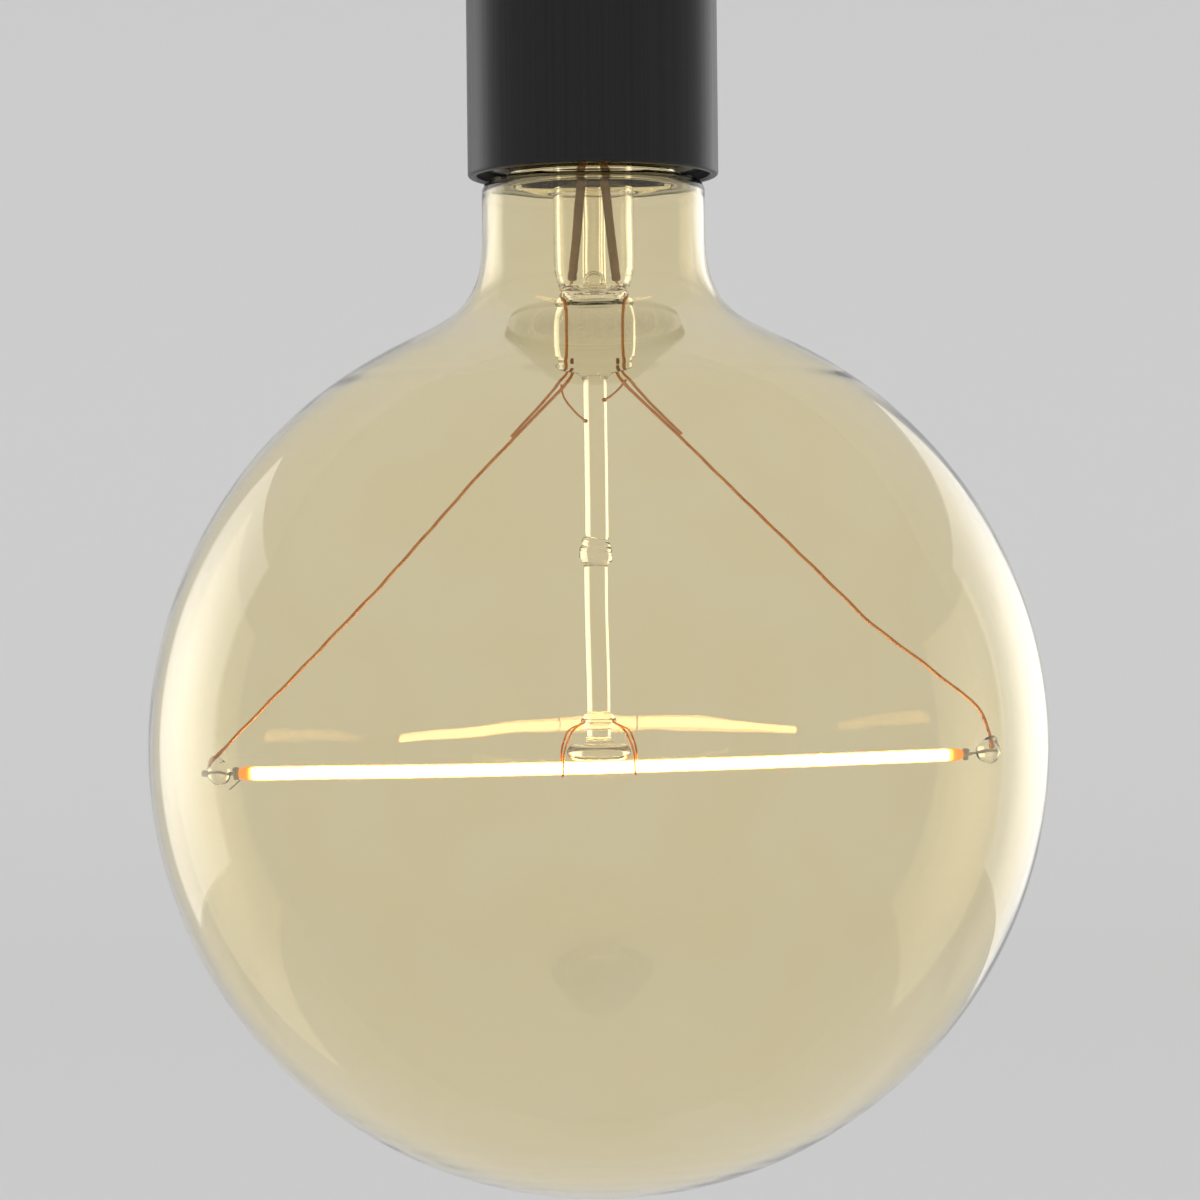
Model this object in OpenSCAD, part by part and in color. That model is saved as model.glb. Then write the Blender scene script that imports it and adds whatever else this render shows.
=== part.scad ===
// LED globe bulb hanging in a slim cylindrical lampholder.
// The bulb is a blown glass globe with a glass stem, a hanging glass rod and one long straight
// LED filament held by wires. It screws up into the holder with an Edison thread.
// Millimetres, +Z up. The origin is the centre of the threaded cord entry, on the holder's top face.
// Bulb pieces are drawn about the globe's centre, and holder pieces about the centre of its open rim.

/* [Globe] */
// Outside diameter of the glass globe
globe_d = 125; // [121:0.5:140]
// Thickness of the blown glass
glass_t = 0.8; // [0.5:0.1:1.1]
// Outside diameter of the neck
neck_d = 31.2; // [29:0.2:32.4]
// Height of the neck's shoulder over the globe's centre
neck_rise = 79; // [77:0.5:86]
// Radius of the blend between globe and neck
neck_blend = 9.3; // [6:0.1:12]
// Radius of the neck's rounded shoulder
shoulder_r = 1.7; // [1.3:0.1:2.5]
// Height of the throat over the shoulder
throat_h = 11; // [9:0.5:12]

/* [Stem] */
// Outside diameter of the stem tube
stem_d = 11.2; // [10.6:0.1:12]
// Thickness of the stem tube and its flare
stem_t = 0.8; // [0.6:0.05:0.9]
// Width of the flare's flat rim
flare_land = 1; // [0.8:0.1:2]
// Outside diameter of the stem tube's waist over the press
waist_d = 9.9; // [9.7:0.1:10.3]
// Height of the stretch that narrows to the waist
waist_h = 3.9; // [3:0.1:4.5]
// Distance from the neck's shoulder down to the top of the press
press_drop = 17.5; // [16:0.5:20]
// Width of the press
press_w = 11.5; // [11:0.1:13]
// Height of the press
press_h = 9.9; // [8:0.1:12]
// Thickness of the press
press_t = 4.6; // [3.6:0.1:6]
// Outside diameter of the exhaust tube
exhaust_d = 3.35; // [3:0.05:3.5]
// Bore of the exhaust tube
exhaust_bore = 1.9; // [1.4:0.1:2.1]
// Outside diameter of the exhaust nipple in the stem's wall
nipple_d = 2.9; // [2.6:0.1:3.2]
// Distance from the stem's floor up to the nipple's centre
nipple_rise = 1.75; // [1.7:0.05:2.5]

/* [Rod] */
// Diameter of the glass rod
rod_d = 3.35; // [2.8:0.05:3.6]
// Length of the rod over the weld
upper_rod_len = 22.9; // [20:0.1:26]
// Length of the rod from the weld to the button
lower_rod_len = 24.6; // [22:0.1:28]
// Diameter of the weld bulge between the two rods
weld_d = 4.75; // [4:0.05:6]
// Height of the weld bulge
weld_h = 3.8; // [3:0.1:5]
// Diameter of the collar that holds the anchors
collar_d = 5.1; // [4.9:0.1:5.6]
// Height of the collar
collar_h = 1.8; // [1.4:0.1:2.4]
// Distance from the button up to the collar
collar_rise = 2.2; // [1.6:0.1:4]
// Diameter of the button at the rod's end
button_d = 8.9; // [8:0.1:9]
// Thickness of the button
button_h = 2.3; // [1.8:0.1:2.6]

/* [Filament] */
// Distance from each end of the filament to the glass
fil_margin = 12.6; // [12:0.1:16]
// Diameter of the phosphor coating
coat_d = 1.9; // [1.7:0.05:2.4]
// Tilt of the filament, its right end up, in degrees
fil_tilt = 0.92; // [0:0.02:2]
// Depth of the filament's bow at its middle
fil_sag = 0.5; // [0.1:0.05:1]
// Width of the strip that carries the chips
strip_w = 1.0; // [0.8:0.05:1.1]
// Thickness of that strip
strip_t = 0.3; // [0.2:0.05:0.4]
// Spacing of the chips
chip_pitch = 2.4; // [2:0.1:4]
// Length of a chip
chip_l = 1.2; // [0.8:0.1:1.6]
// Width of a chip
chip_w = 0.5; // [0.3:0.05:0.7]
// Thickness of a chip
chip_t = 0.15; // [0.1:0.05:0.2]
// Length of the metal tab at each end
tab_len = 1.3; // [1:0.1:2]
// Diameter of the end pins
pin_d = 0.5; // [0.4:0.05:0.6]
// Diameter of the glass end beads
bead_d = 3.8; // [3.2:0.1:4.4]
// Distance from the left tab to its bead's centre
bead_reach_left = 2.1; // [2:0.1:3]
// Distance from the right tab to its bead's centre
bead_reach_right = 3.1; // [2.9:0.1:4]
// Length of the pin that stands out of the left bead
stub_len = 1.0; // [0.6:0.1:2]

/* [Wires] */
// Diameter of the support wires
support_d = 0.45; // [0.35:0.05:0.6]
// Diameter of the lead wires
lead_d = 0.4; // [0.3:0.05:0.5]
// Diameter of the braces and anchors
fine_d = 0.3; // [0.2:0.05:0.35]
// Half the distance between the lead wires in the press
lead_x = 3.8; // [3.6:0.05:3.9]
// Distance between a lead and its support wire in the press
lead_pitch = 0.75; // [0.7:0.05:1]
// Length of lead wire that lies along the support wire
lead_tail = 12; // [8:0.5:15]
// Depth of the support wires in the press
support_seat = 2.5; // [1.5:0.1:4]
// Half the distance between the anchors
anchor_x = 5.1; // [5:0.05:6]
// Outside diameter of the sleeves on the lead wires
sleeving_d = 1.25; // [1:0.05:1.3]
// Bore of those sleeves
sleeving_bore = 0.6; // [0.55:0.05:0.8]

/* [Cap] */
// Major diameter of the Edison thread
thread_major = 26.4; // [26:0.1:29]
// Depth of the Edison thread
thread_depth = 1.1; // [1:0.05:1.2]
// Pitch of the Edison thread
thread_pitch = 3.629; // [3.4:0.01:3.8]
// Thickness of the cap's sheet metal
cap_sheet = 0.3; // [0.2:0.05:0.35]
// Step from the thread's crest out to the cap's plain skirt
skirt_step = 0.15; // [0.1:0.05:0.3]
// Height of the plain skirt
skirt_h = 6.2; // [5.5:0.1:7]
// Height of the cap's rounded shoulder over the thread
cap_shoulder_h = 2.2; // [2:0.1:3]
// Height of the whole cap
cap_h = 27.5; // [27:0.1:29]
// Height of the step between skirt and thread
step_h = 1.2; // [1:0.1:1.6]
// Length over which a thread fades in and out
thread_run = 1.2; // [0.8:0.1:1.8]
// Width of the cap's rounded shoulder
shoulder_w = 1.5; // [1.2:0.1:2]
// Height of insulator and tip over the cap's sheet metal
crown_h = 3.3; // [3:0.1:3.8]
// Distance from the neck's shoulder up to the cap
cap_rise = 4; // [3:0.1:4.5]
// Diameter of the tip contact
tip_d = 9.5; // [8.5:0.1:10]
// Thickness of the tip contact
tip_h = 1.6; // [1.4:0.1:2]

/* [Driver] */
// Width of the driver board
board_w = 15; // [14:0.5:17]
// Height of the driver board
board_h = 12.5; // [12:0.1:13]
// Thickness of the driver board
board_t = 1.0; // [0.8:0.1:1.6]
// Diameter of the smoothing capacitor
capacitor_d = 6.3; // [5:0.1:6.5]
// Length of the smoothing capacitor
capacitor_l = 8; // [7:0.5:9]
// Diameter of the inductor
inductor_d = 5; // [4:0.1:5.5]
// Length of the inductor
inductor_l = 6.5; // [5:0.1:7]
// Width of the rectifier and of the driver chip
package_w = 5; // [4:0.1:5.5]
// Height of the rectifier and of the driver chip
package_h = 4.2; // [3:0.1:4.5]
// Thickness of the rectifier
rectifier_t = 2.2; // [1.6:0.1:2.6]
// Thickness of the driver chip
chip_case_t = 1.6; // [1.2:0.1:2]
// Diameter of the fusible resistor
resistor_d = 2.4; // [1.8:0.1:2.6]
// Length of the fusible resistor
resistor_l = 6.3; // [5:0.1:8]
// Diameter of the two wires from the driver to the cap
wire_d = 0.6; // [0.4:0.05:0.8]

/* [Holder] */
// Thickness of the sleeve
sleeve_t = 1.2; // [1:0.1:1.4]
// Height of the wiring space between the insert and the lid
wiring_h = 20; // [19:0.5:60]
// Radius of the rounding on the sleeve's rim and the lid's edge
rim_round = 0.5; // [0.2:0.1:0.9]
// Thickness of the lid
lid_t = 2.5; // [2:0.1:4]
// Height of the lid's spigot inside the sleeve
spigot_h = 5; // [4:0.5:8]
// Thickness of the spigot's wall
spigot_t = 2.4; // [2:0.1:2.8]
// Diameter of the two pillars under the lid
pillar_d = 4.6; // [4.2:0.1:4.8]
// Distance from the axis to each pillar
pillar_y = 10.2; // [10.1:0.1:10.4]
// Diameter of the entry bush's collar
bush_d = 14; // [13.5:0.1:18]
// Height of the collar over the lid
bush_h = 6; // [5:0.5:9]
// Diameter of the bush's neck through the lid
bush_neck_d = 12; // [11:0.1:12.4]
// Diameter of the threaded cord entry at its wall
entry_d = 9; // [8.8:0.1:9.4]
// Thickness of the ring nut under the lid
nut_t = 2.6; // [2:0.1:4]
// Diameter of the ring nut
nut_d = 15.2; // [14.6:0.1:15.4]
// Length of the bush's neck that shows under the ring nut
neck_tail = 0.8; // [0.4:0.1:1.5]
// Distance from the ring nut's edge to the earth tag's bent end
tag_reach = 2.2; // [1.8:0.1:2.4]
// Width of that bent end
tag_w = 6; // [5:0.5:8]
// Height of that bent end
tag_drop = 9; // [8:0.5:9.5]
// Diameter of the grub screws
grub_d = 3; // [2.5:0.1:3.2]

/* [Socket] */
// Recess of the insert behind the sleeve's rim
insert_recess = 1.5; // [0.8:0.1:3]
// Thickness of the insert's wall round the thread shell
insert_wall = 2.15; // [2:0.05:4]
// Step from the thread's crest in to the cavity over the thread shell
cavity_step = 0.3; // [0.2:0.05:0.5]
// Thickness of the insert's floor
floor_t = 5; // [4:0.1:7]
// Height of the socket's thread shell
shell_h = 14.8; // [14:0.1:15.2]
// Thickness of the socket's metal parts
contact_t = 0.4; // [0.3:0.05:0.6]
// Width of the contact leaf and the neutral strip
contact_w = 4.4; // [3.5:0.1:5]
// Length of the contact leaf
leaf_len = 8.6; // [7:0.1:9]
// Drop of the contact leaf from its hinge to its free end
leaf_drop = 1.3; // [0.8:0.1:1.6]
// Size of the terminal blocks along X
terminal_x = 6; // [5:0.1:7]
// Size of the terminal blocks along Y
terminal_y = 7; // [6:0.1:8]
// Height of the terminal blocks
terminal_h = 8; // [7:0.1:9]
// Diameter of the contact's rivet
rivet_d = 2; // [1.6:0.1:2.4]
// Overlap of the neutral strip on the thread shell
strip_lap = 2.4; // [2:0.1:3.2]
// Depth of the insert's screws in the pillars
screw_bite = 6; // [5:0.5:7]
// Distance from the axis to each terminal
terminal_reach = 8; // [7.6:0.1:8.6]
// Bore for the supply wires in the terminals
wire_bore = 2.8; // [2:0.1:3.4]
// Diameter of the small screws
screw_d = 2.9; // [2.5:0.1:3]
// Diameter of their heads
screw_head_d = 4.5; // [4:0.1:4.6]
// Height of their heads
screw_head_h = 1.8; // [1.4:0.1:2]

/* [Clearances] */
// Gap between the neck's shoulder and the holder's rim
rim_gap = 0.4; // [0.3:0.05:1]
// Radial gap between the two threads
thread_gap = 0.25; // [0.2:0.05:0.3]
// Gap between the tip contact and the leaf
tip_gap = 0.15; // [0.1:0.05:0.3]
// Radial gap between the glass throat and the root of the cap's thread
throat_gap = 0.2; // [0.15:0.05:0.5]
// Radial gap between the cap's skirt and the insert's entry bore
entry_gap = 0.65; // [0.5:0.05:1]
// Gap between the insert and the sleeve
insert_gap = 0.3; // [0.2:0.05:0.4]
// Gap round small parts in their seats
seat_gap = 0.1; // [0.05:0.01:0.12]
// Gap between glass and the metal sealed in it
seal_gap = 0.02; // [0.01:0.005:0.03]
// Gap between the button and the filament
fil_gap = 0.12; // [0.08:0.01:0.2]

/* [Hidden] */
$fn = 72;

// Levels along Z. Those of the holder, from socket_cap_z to sleeve_h, are about its rim, rim_z and
// globe_z are in the part's frame, and the bulb's are about the globe's centre.
socket_cap_z = cap_rise - rim_gap;
leaf_z = socket_cap_z + cap_h + tip_gap;
leaf_hinge_z = leaf_z + leaf_drop;
floor_z = leaf_hinge_z + contact_t;
deck_z = floor_z + floor_t;
sleeve_h = deck_z + wiring_h;
rim_z = -(bush_h + lid_t + sleeve_h);
globe_z = rim_z - rim_gap - neck_rise;
globe_r = globe_d / 2;
throat_top = neck_rise + throat_h;
press_top = neck_rise - press_drop;
press_bottom = press_top - press_h;
stem_floor = press_top + stem_t;
weld_top = press_bottom - upper_rod_len;
weld_bottom = weld_top - weld_h;
button_top = weld_bottom - lower_rod_len;
button_bottom = button_top - button_h;
collar_z = button_top + collar_rise;
bow_z = button_bottom - fil_gap - coat_d / 2;
fil_z = bow_z + fil_sag;
cap_z = neck_rise + cap_rise;
board_z = throat_top + stem_t + insert_gap;

// The cap and the socket. Their round sizes all come from the thread's major diameter.
thread_minor = thread_major - 2 * thread_depth;
skirt_d = thread_major + 2 * skirt_step;
throat_d = thread_minor - 2 * (cap_sheet + throat_gap);
flare_r = (throat_d - stem_d) / 2 - flare_land;
entry_bore = skirt_d + 2 * entry_gap;
cavity_d = thread_major - 2 * cavity_step;
shell_seat_r = thread_major / 2 + thread_gap + cap_sheet + seat_gap;
insert_r = shell_seat_r + insert_wall;
sleeve_d = 2 * (insert_r + insert_gap + sleeve_t);
thread_z = skirt_h + step_h;
thread_h = cap_h - crown_h - cap_shoulder_h - thread_z;
shell_z = socket_cap_z + thread_z + thread_run;
shell_top = shell_z + shell_h;
foot_x = leaf_len - tip_d / 3;
tag_t = 2 * contact_t;
tag_x = nut_d / 2 + tag_reach;
tag_screw_z = sleeve_h - tag_t - tag_drop * 0.56;
cap_top_r = thread_minor / 2 - shoulder_w;
strip_x = shell_seat_r + seat_gap;
fil_len = globe_d - 2 * fil_margin;

// Shared colours
smoke_black = [0.035, 0.035, 0.04];
clear_glass = [0.86, 0.84, 0.74, 0.35];
stem_glass = [0.9, 0.86, 0.7, 0.5];
nickel = [0.72, 0.7, 0.66];
copper_wire = [0.8, 0.5, 0.22];
brass_colour = [0.78, 0.6, 0.3];

// Points along an arc in a lathe's profile, from angle a to angle b
function arc(cx, cz, r, a, b, steps) =
    [for (i = [0:steps]) let (t = a + (b - a) * i / steps) [cx + r * cos(t), cz + r * sin(t)]];

// A path whose inner corners are rounded over the length reach
function unit(v) = v / norm(v);
function soft_corner(p, q, r, reach) =
    let (a = q + unit(p - q) * min(reach, norm(p - q) / 2),
         b = q + unit(r - q) * min(reach, norm(r - q) / 2))
    [for (t = [0:0.25:1]) a * (1 - t) * (1 - t) + q * 2 * t * (1 - t) + b * t * t];
function soft_path(points, reach) = [
    points[0],
    for (i = [1:len(points) - 2])
        each soft_corner(points[i - 1], points[i], points[i + 1], reach),
    points[len(points) - 1]
];

// A point on the way from p to q
function along(p, q, t) = p + (q - p) * t;

// Places that more than one piece is made from, about the globe's centre
function fil_end(side) = [side * fil_len / 2, 0, fil_z + side * fil_len / 2 * tan(fil_tilt)];
function fil_dir(side) = unit([side, 0, side * tan(fil_tilt)]);
function tab_end(side) = fil_end(side) + fil_dir(side) * tab_len;
function bead_reach(side) = side < 0 ? bead_reach_left : bead_reach_right;
function bead_at(side) = tab_end(side) + fil_dir(side) * bead_reach(side);
function support_exit(side) = [side * (lead_x - lead_pitch), 0, press_bottom - lead_d / 2];
function support_knee(side) =
    bead_at(side) + bead_d * (side < 0 ? [0.29, 0, 1] : [-0.16, 0, 1.47]);
function support_kink() = along(support_exit(1), support_knee(1), 0.69) - [0, 0, bead_d * 0.53];
function support_aim(side) = side < 0 ? support_knee(-1) : support_kink();
function tail_end(side) =
    let (d = unit(support_aim(side) - support_exit(side)), up = [-d[2] * side, 0, d[0] * side])
    support_exit(side) + d * lead_tail + up * (support_d + lead_d) / 2 * 1.1;
function sleeving_low(side) = [side * lead_x * 0.8, -lead_x * 0.24, press_top + waist_h * 0.75];
function sleeving_high(side) = 
    [side * stem_d * 0.116, -stem_d * 0.245, throat_top - throat_h * 0.82];
function board_pad(side) = 
    [side * board_w * 0.17, -board_t / 2 - lead_d / 2 - seal_gap, board_z + board_h / 8];

// Everything about one frame or the other
module in_bulb() { translate([0, 0, globe_z]) children(); }
module in_holder() { translate([0, 0, rim_z]) children(); }
module in_cap() { translate([0, 0, globe_z + cap_z]) children(); }

// A round bar from p to q
module bar(p, q, r) {
    v = q - p;
    translate(p)
        rotate([0, acos(v[2] / norm(v)), atan2(v[1], v[0])])
            cylinder(r = r, h = norm(v), $fn = 24);
}

// A wire swept along a path, eight-sided, with side giving a direction that it never runs in
module wire(path, d, side = [0, 1, 0]) {
    n = len(path);
    sides = 8;
    function tangent(i) = unit(path[min(i + 1, n - 1)] - path[max(i - 1, 0)]);
    points = [
        for (i = [0:n - 1])
            let (t = tangent(i), u = unit(cross(t, side)), v = cross(t, u))
            for (k = [0:sides - 1])
                path[i] + d / 2 * (cos(360 * k / sides) * u + sin(360 * k / sides) * v)
    ];
    walls = [
        for (i = [0:n - 2])
            for (k = [0:sides - 1])
                let (a = i * sides + k, b = i * sides + (k + 1) % sides)
                each [[a, a + sides, b + sides], [a, b + sides, b]]
    ];
    ends = [
        [for (k = [0:sides - 1]) k],
        [for (k = [sides - 1:-1:0]) (n - 1) * sides + k]
    ];
    polyhedron(points = points, faces = concat(walls, ends), convexity = 6);
}

// The Edison thread: 1 at a crest of the cap's metal and 0 at a root. Both threads share it, so
// they stay in step. z is measured from the cap's lower edge.
function wave(z, angle) = (1 + cos(360 * z / thread_pitch - angle)) / 2;

// Radius of the cap's outer face, and of the socket shell's inner face. fade runs from 0, no
// thread, to 1, a full one.
function cap_face(base, fade, z, angle) = base + thread_depth * fade * wave(z, angle);
function socket_face(fade, z, angle) =
    thread_minor / 2 + thread_gap + thread_depth * (1 - fade * (1 - wave(z, angle)));

// A closed spun sheet from rings of radii: outer and inner hold one list of radii per height
module spun_sheet(heights, outer, inner) {
    n = len(heights);
    facets = len(outer[0]);
    function place(i, k, r) =
        [r * cos(360 * k / facets), r * sin(360 * k / facets), heights[i]];
    function at(layer, i, k) = (layer * n + i) * facets + k % facets;
    points = [
        for (layer = [outer, inner])
            for (i = [0:n - 1])
                for (k = [0:facets - 1])
                    place(i, k, layer[i][k])
    ];
    faces = [
        for (k = [0:facets - 1]) each [
            for (i = [0:n - 2]) each [
                [at(0, i, k), at(0, i + 1, k + 1), at(0, i, k + 1)],
                [at(0, i, k), at(0, i + 1, k), at(0, i + 1, k + 1)],
                [at(1, i, k), at(1, i, k + 1), at(1, i + 1, k + 1)],
                [at(1, i, k), at(1, i + 1, k + 1), at(1, i + 1, k)]
            ],
            [at(0, 0, k), at(0, 0, k + 1), at(1, 0, k + 1)],
            [at(0, 0, k), at(1, 0, k + 1), at(1, 0, k)],
            [at(0, n - 1, k), at(1, n - 1, k), at(1, n - 1, k + 1)],
            [at(0, n - 1, k), at(1, n - 1, k + 1), at(0, n - 1, k + 1)]
        ]
    ];
    polyhedron(points = points, faces = faces, convexity = 10);
}

// How full a thread is at z, from none at both of its ends
function fade(z, start, end) = min(1, max(0, min(z - start, end - z) / thread_run));
thread_facets = 36;
thread_rows = 8;
facet_angles = [for (k = [0:thread_facets - 1]) 360 * k / thread_facets];

// The bulb's glass

// Half profile of the glass envelope, moved inward by t
function envelope(t) =
    let (
        neck_r = neck_d / 2,
        blend_x = neck_r + neck_blend,
        blend_z = sqrt(pow(globe_r + neck_blend, 2) - blend_x * blend_x),
        touch = atan2(blend_z, blend_x)
    )
    concat(
        arc(0, 0, globe_r - t, -90, 0, 28),
        arc(0, 0, globe_r - t, touch / 16, touch, 15),
        arc(blend_x, blend_z, neck_blend + t, 180 + touch, 180, 8),
        arc(neck_r - shoulder_r, neck_rise - shoulder_r, shoulder_r - t, 0, 90, 6),
        [[throat_d / 2 - t, neck_rise - t], [throat_d / 2 - t, throat_top]]
    );

module globe() {
    inner = envelope(glass_t);
    color(clear_glass)
        in_bulb()
            rotate_extrude()
                polygon(concat(envelope(0), [for (i = [len(inner) - 1:-1:0]) inner[i]]));
}

// The stem tube hangs from a flare that is sealed to the throat, and has a floor on the press
module stem_tube() {
    r = stem_d / 2;
    waist_r = waist_d / 2;
    flare_z = throat_top - flare_r;
    rim_r = throat_d / 2;
    waist_z = press_top + waist_h;
    corner_r = stem_t * 0.9;
    color(stem_glass)
        in_bulb()
            difference() {
                rotate_extrude()
                    polygon(concat(
                        [[0, press_top], [waist_r - corner_r, press_top]],
                        arc(waist_r - corner_r, press_top + corner_r, corner_r, -60, 0, 3),
                        [[r, waist_z]],
                        arc(r + flare_r, flare_z, flare_r, 180, 90, 8),
                        [[rim_r, throat_top], [rim_r, throat_top + stem_t]],
                        arc(r + flare_r, flare_z, flare_r + stem_t, 90, 180, 8),
                        [[r - stem_t, waist_z], [waist_r - stem_t, stem_floor], [0, stem_floor]]
                    ));
                for (side = [-1, 1])
                    bar([side * lead_x, 0, press_top - stem_t], [side * lead_x, 0, stem_floor + stem_t],
                        lead_d / 2 + seal_gap);
                bar([0, 0, nipple_z()], [0, -stem_d, nipple_z()], nipple_d / 2 + seal_gap);
            }
}

// The exhaust tube stands on the stem's floor, sealed at its top, with a nipple out to the front
function nipple_z() = stem_floor + nipple_rise;
module exhaust_tube() {
    r = exhaust_d / 2;
    bore_r = exhaust_bore / 2;
    tip_z = throat_top - exhaust_d * 0.6;
    foot_z = stem_floor + seal_gap;
    color(stem_glass)
        in_bulb()
            difference() {
                union() {
                    rotate_extrude()
                        polygon(concat([[0, foot_z], [r, foot_z]], arc(0, tip_z - r, r, 0, 90, 6)));
                    bar([0, 0, nipple_z()], [0, -waist_d / 2 - seat_gap, nipple_z()], nipple_d / 2);
                }
                translate([0, 0, nipple_z()])
                    cylinder(r = bore_r, h = tip_z - 2 * r - nipple_z());
                bar([0, 0, nipple_z()], [0, -stem_d, nipple_z()], bore_r);
            }
}

// The press: a flat pinched block with soft sides and two lobes at its foot
module stem_press() {
    half = press_w / 2;
    shares = [
        [0.88, 0], [0.96, 0.07], [0.91, 0.135], [1, 0.26], [1, 0.5], [0.88, 0.81], [0.58, 0.975],
        [0.4, 1]
    ];
    side = soft_path([for (q = shares) [half * q[0], -press_h * q[1]]], press_h * 0.09);
    outline = concat(side, [for (i = [len(side) - 1:-1:0]) [-side[i][0], side[i][1]]]);
    color(stem_glass)
        in_bulb()
            difference() {
                intersection() {
                    translate([0, press_t / 2, press_top])
                        rotate([90, 0, 0])
                            linear_extrude(height = press_t)
                                polygon(outline);
                    translate([0, 0, press_bottom - 1])
                        linear_extrude(height = press_h + 2)
                            union() {
                                square([press_w - press_t, press_t], center = true);
                                for (s = [-1, 1])
                                    translate([s * (press_w - press_t) / 2, 0])
                                        circle(d = press_t);
                            }
                }
                for (s = [-1, 1]) {
                    bar([s * lead_x, 0, press_top + 1], [s * lead_x, 0, press_bottom - 1],
                        lead_d / 2 + seal_gap);
                    bar(support_exit(s) + [0, 0, support_seat + seat_gap], support_exit(s) - [0, 0, 1],
                        support_d / 2 + seal_gap);
                }
            }
}

// The rod, in two lengths with a weld bulge between them
module upper_rod() {
    color(stem_glass)
        in_bulb()
            difference() {
                translate([0, 0, weld_top])
                    cylinder(d = rod_d, h = upper_rod_len);
                for (s = [-1, 1])
                    let (path = brace_path(s), n = len(path))
                    bar(path[n - 1] - unit(path[n - 2] - path[n - 1]) * seat_gap / 2,
                        path[n - 1] + unit(path[n - 2] - path[n - 1]) * rod_d,
                        fine_d / 2 + seal_gap);
            }
}

module rod_weld() {
    bulge = (weld_d - rod_d) / 2;
    color(stem_glass)
        in_bulb()
            rotate_extrude()
                polygon(concat(
                    [[0, weld_bottom], [rod_d / 2, weld_bottom]],
                    [for (i = [1:7]) [rod_d / 2 + bulge * sin(180 * i / 8), weld_bottom + weld_h * i / 8]],
                    [[rod_d / 2, weld_top], [0, weld_top]]
                ));
}

module lower_rod() {
    color(stem_glass)
        in_bulb()
            translate([0, 0, button_top])
                cylinder(d = rod_d, h = lower_rod_len);
}

module anchor_collar() {
    bore_r = rod_d / 2 + seal_gap;
    color(stem_glass)
        in_bulb()
            difference() {
                rotate_extrude()
                    polygon(concat(
                        [[bore_r, collar_z]],
                        [for (a = [-80:20:80])
                            [bore_r + (collar_d / 2 - bore_r) * cos(a),
                             collar_z + collar_h * (1 + sin(a)) / 2]],
                        [[bore_r, collar_z + collar_h]]
                    ));
                for (s = [-1, 1])
                    for (front = [-1, 1])
                        bar(anchor_root(s, front), anchor_root(s, front)
                            + collar_d * unit(anchor_elbow(s, front) - anchor_root(s, front)),
                            fine_d / 2 + seal_gap);
            }
}

module rod_button() {
    edge = button_h / 2;
    color(stem_glass)
        in_bulb()
            rotate_extrude()
                polygon(concat(
                    [[0, button_bottom]],
                    arc(button_d / 2 - edge, button_bottom + edge, edge, -90, 90, 10),
                    [[0, button_top]]
                ));
}

// The wires

// Lead wires run from the driver board through their sleeving and the press, and on beside the
// support wires that they are welded to
function lead_path(side) = soft_path([
    board_pad(side),
    board_pad(side) - [0, 0, board_h * 0.18],
    sleeving_high(side) + sleeving_run(side),
    sleeving_low(side) - sleeving_run(side),
    [side * lead_x, 0, stem_floor + lead_d],
    [side * lead_x, 0, press_bottom + lead_d],
    tail_end(side)
], 2 * lead_d);
module lead(side) { in_bulb() wire(lead_path(side), lead_d); }
module left_lead() { color(copper_wire) lead(-1); }
module right_lead() { color(copper_wire) lead(1); }

// Amber sleeving on the leads inside the stem
function sleeving_run(side) = unit(sleeving_high(side) - sleeving_low(side));
module sleeving(side) {
    low = sleeving_low(side);
    high = sleeving_high(side);
    in_bulb()
        difference() {
            bar(low, high, sleeving_d / 2);
            bar(low - sleeving_run(side), high + sleeving_run(side), sleeving_bore / 2);
        }
}
module left_sleeving() { color("goldenrod") sleeving(-1); }
module right_sleeving() { color("goldenrod") sleeving(1); }

// Support wires reach from the press to the end beads
function support_path(side) = soft_path(concat(
    [support_exit(side) + [0, 0, support_seat], support_exit(side)],
    side > 0 ? [support_kink()] : [],
    [support_knee(side), bead_at(side) + [-side * seat_gap, 0, (pin_d + support_d) / 2 + 2 * seat_gap]]
), bead_d * 0.3);
module support(side) { in_bulb() wire(support_path(side), support_d); }
module left_support() { color(copper_wire) support(-1); }
module right_support() { color(copper_wire) support(1); }

// Braces steady the leads on the rod. Their routes are in shares of lead_x from the press's foot.
brace_y = (support_d + fine_d) / 2 + seat_gap;
brace_route = [
    [[-1.24, 0, -0.32], [-1.13, 0, -0.79], [-0.8, 0, -1.24], [-0.5, -0.03, -1.53],
     [-0.18, -0.04, -1.67]],
    [[1.16, 0, -0.18], [0.86, 0, -0.5], [0.5, -0.03, -0.78], [0.16, -0.04, -0.9]]
];
function brace_path(side) = soft_path(
    [for (q = brace_route[side < 0 ? 0 : 1]) [0, brace_y, press_bottom] + q * lead_x],
    2 * fine_d
);
module brace(side) { in_bulb() wire(brace_path(side), fine_d); }
module left_brace() { color(copper_wire) brace(-1); }
module right_brace() { color(copper_wire) brace(1); }

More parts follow.
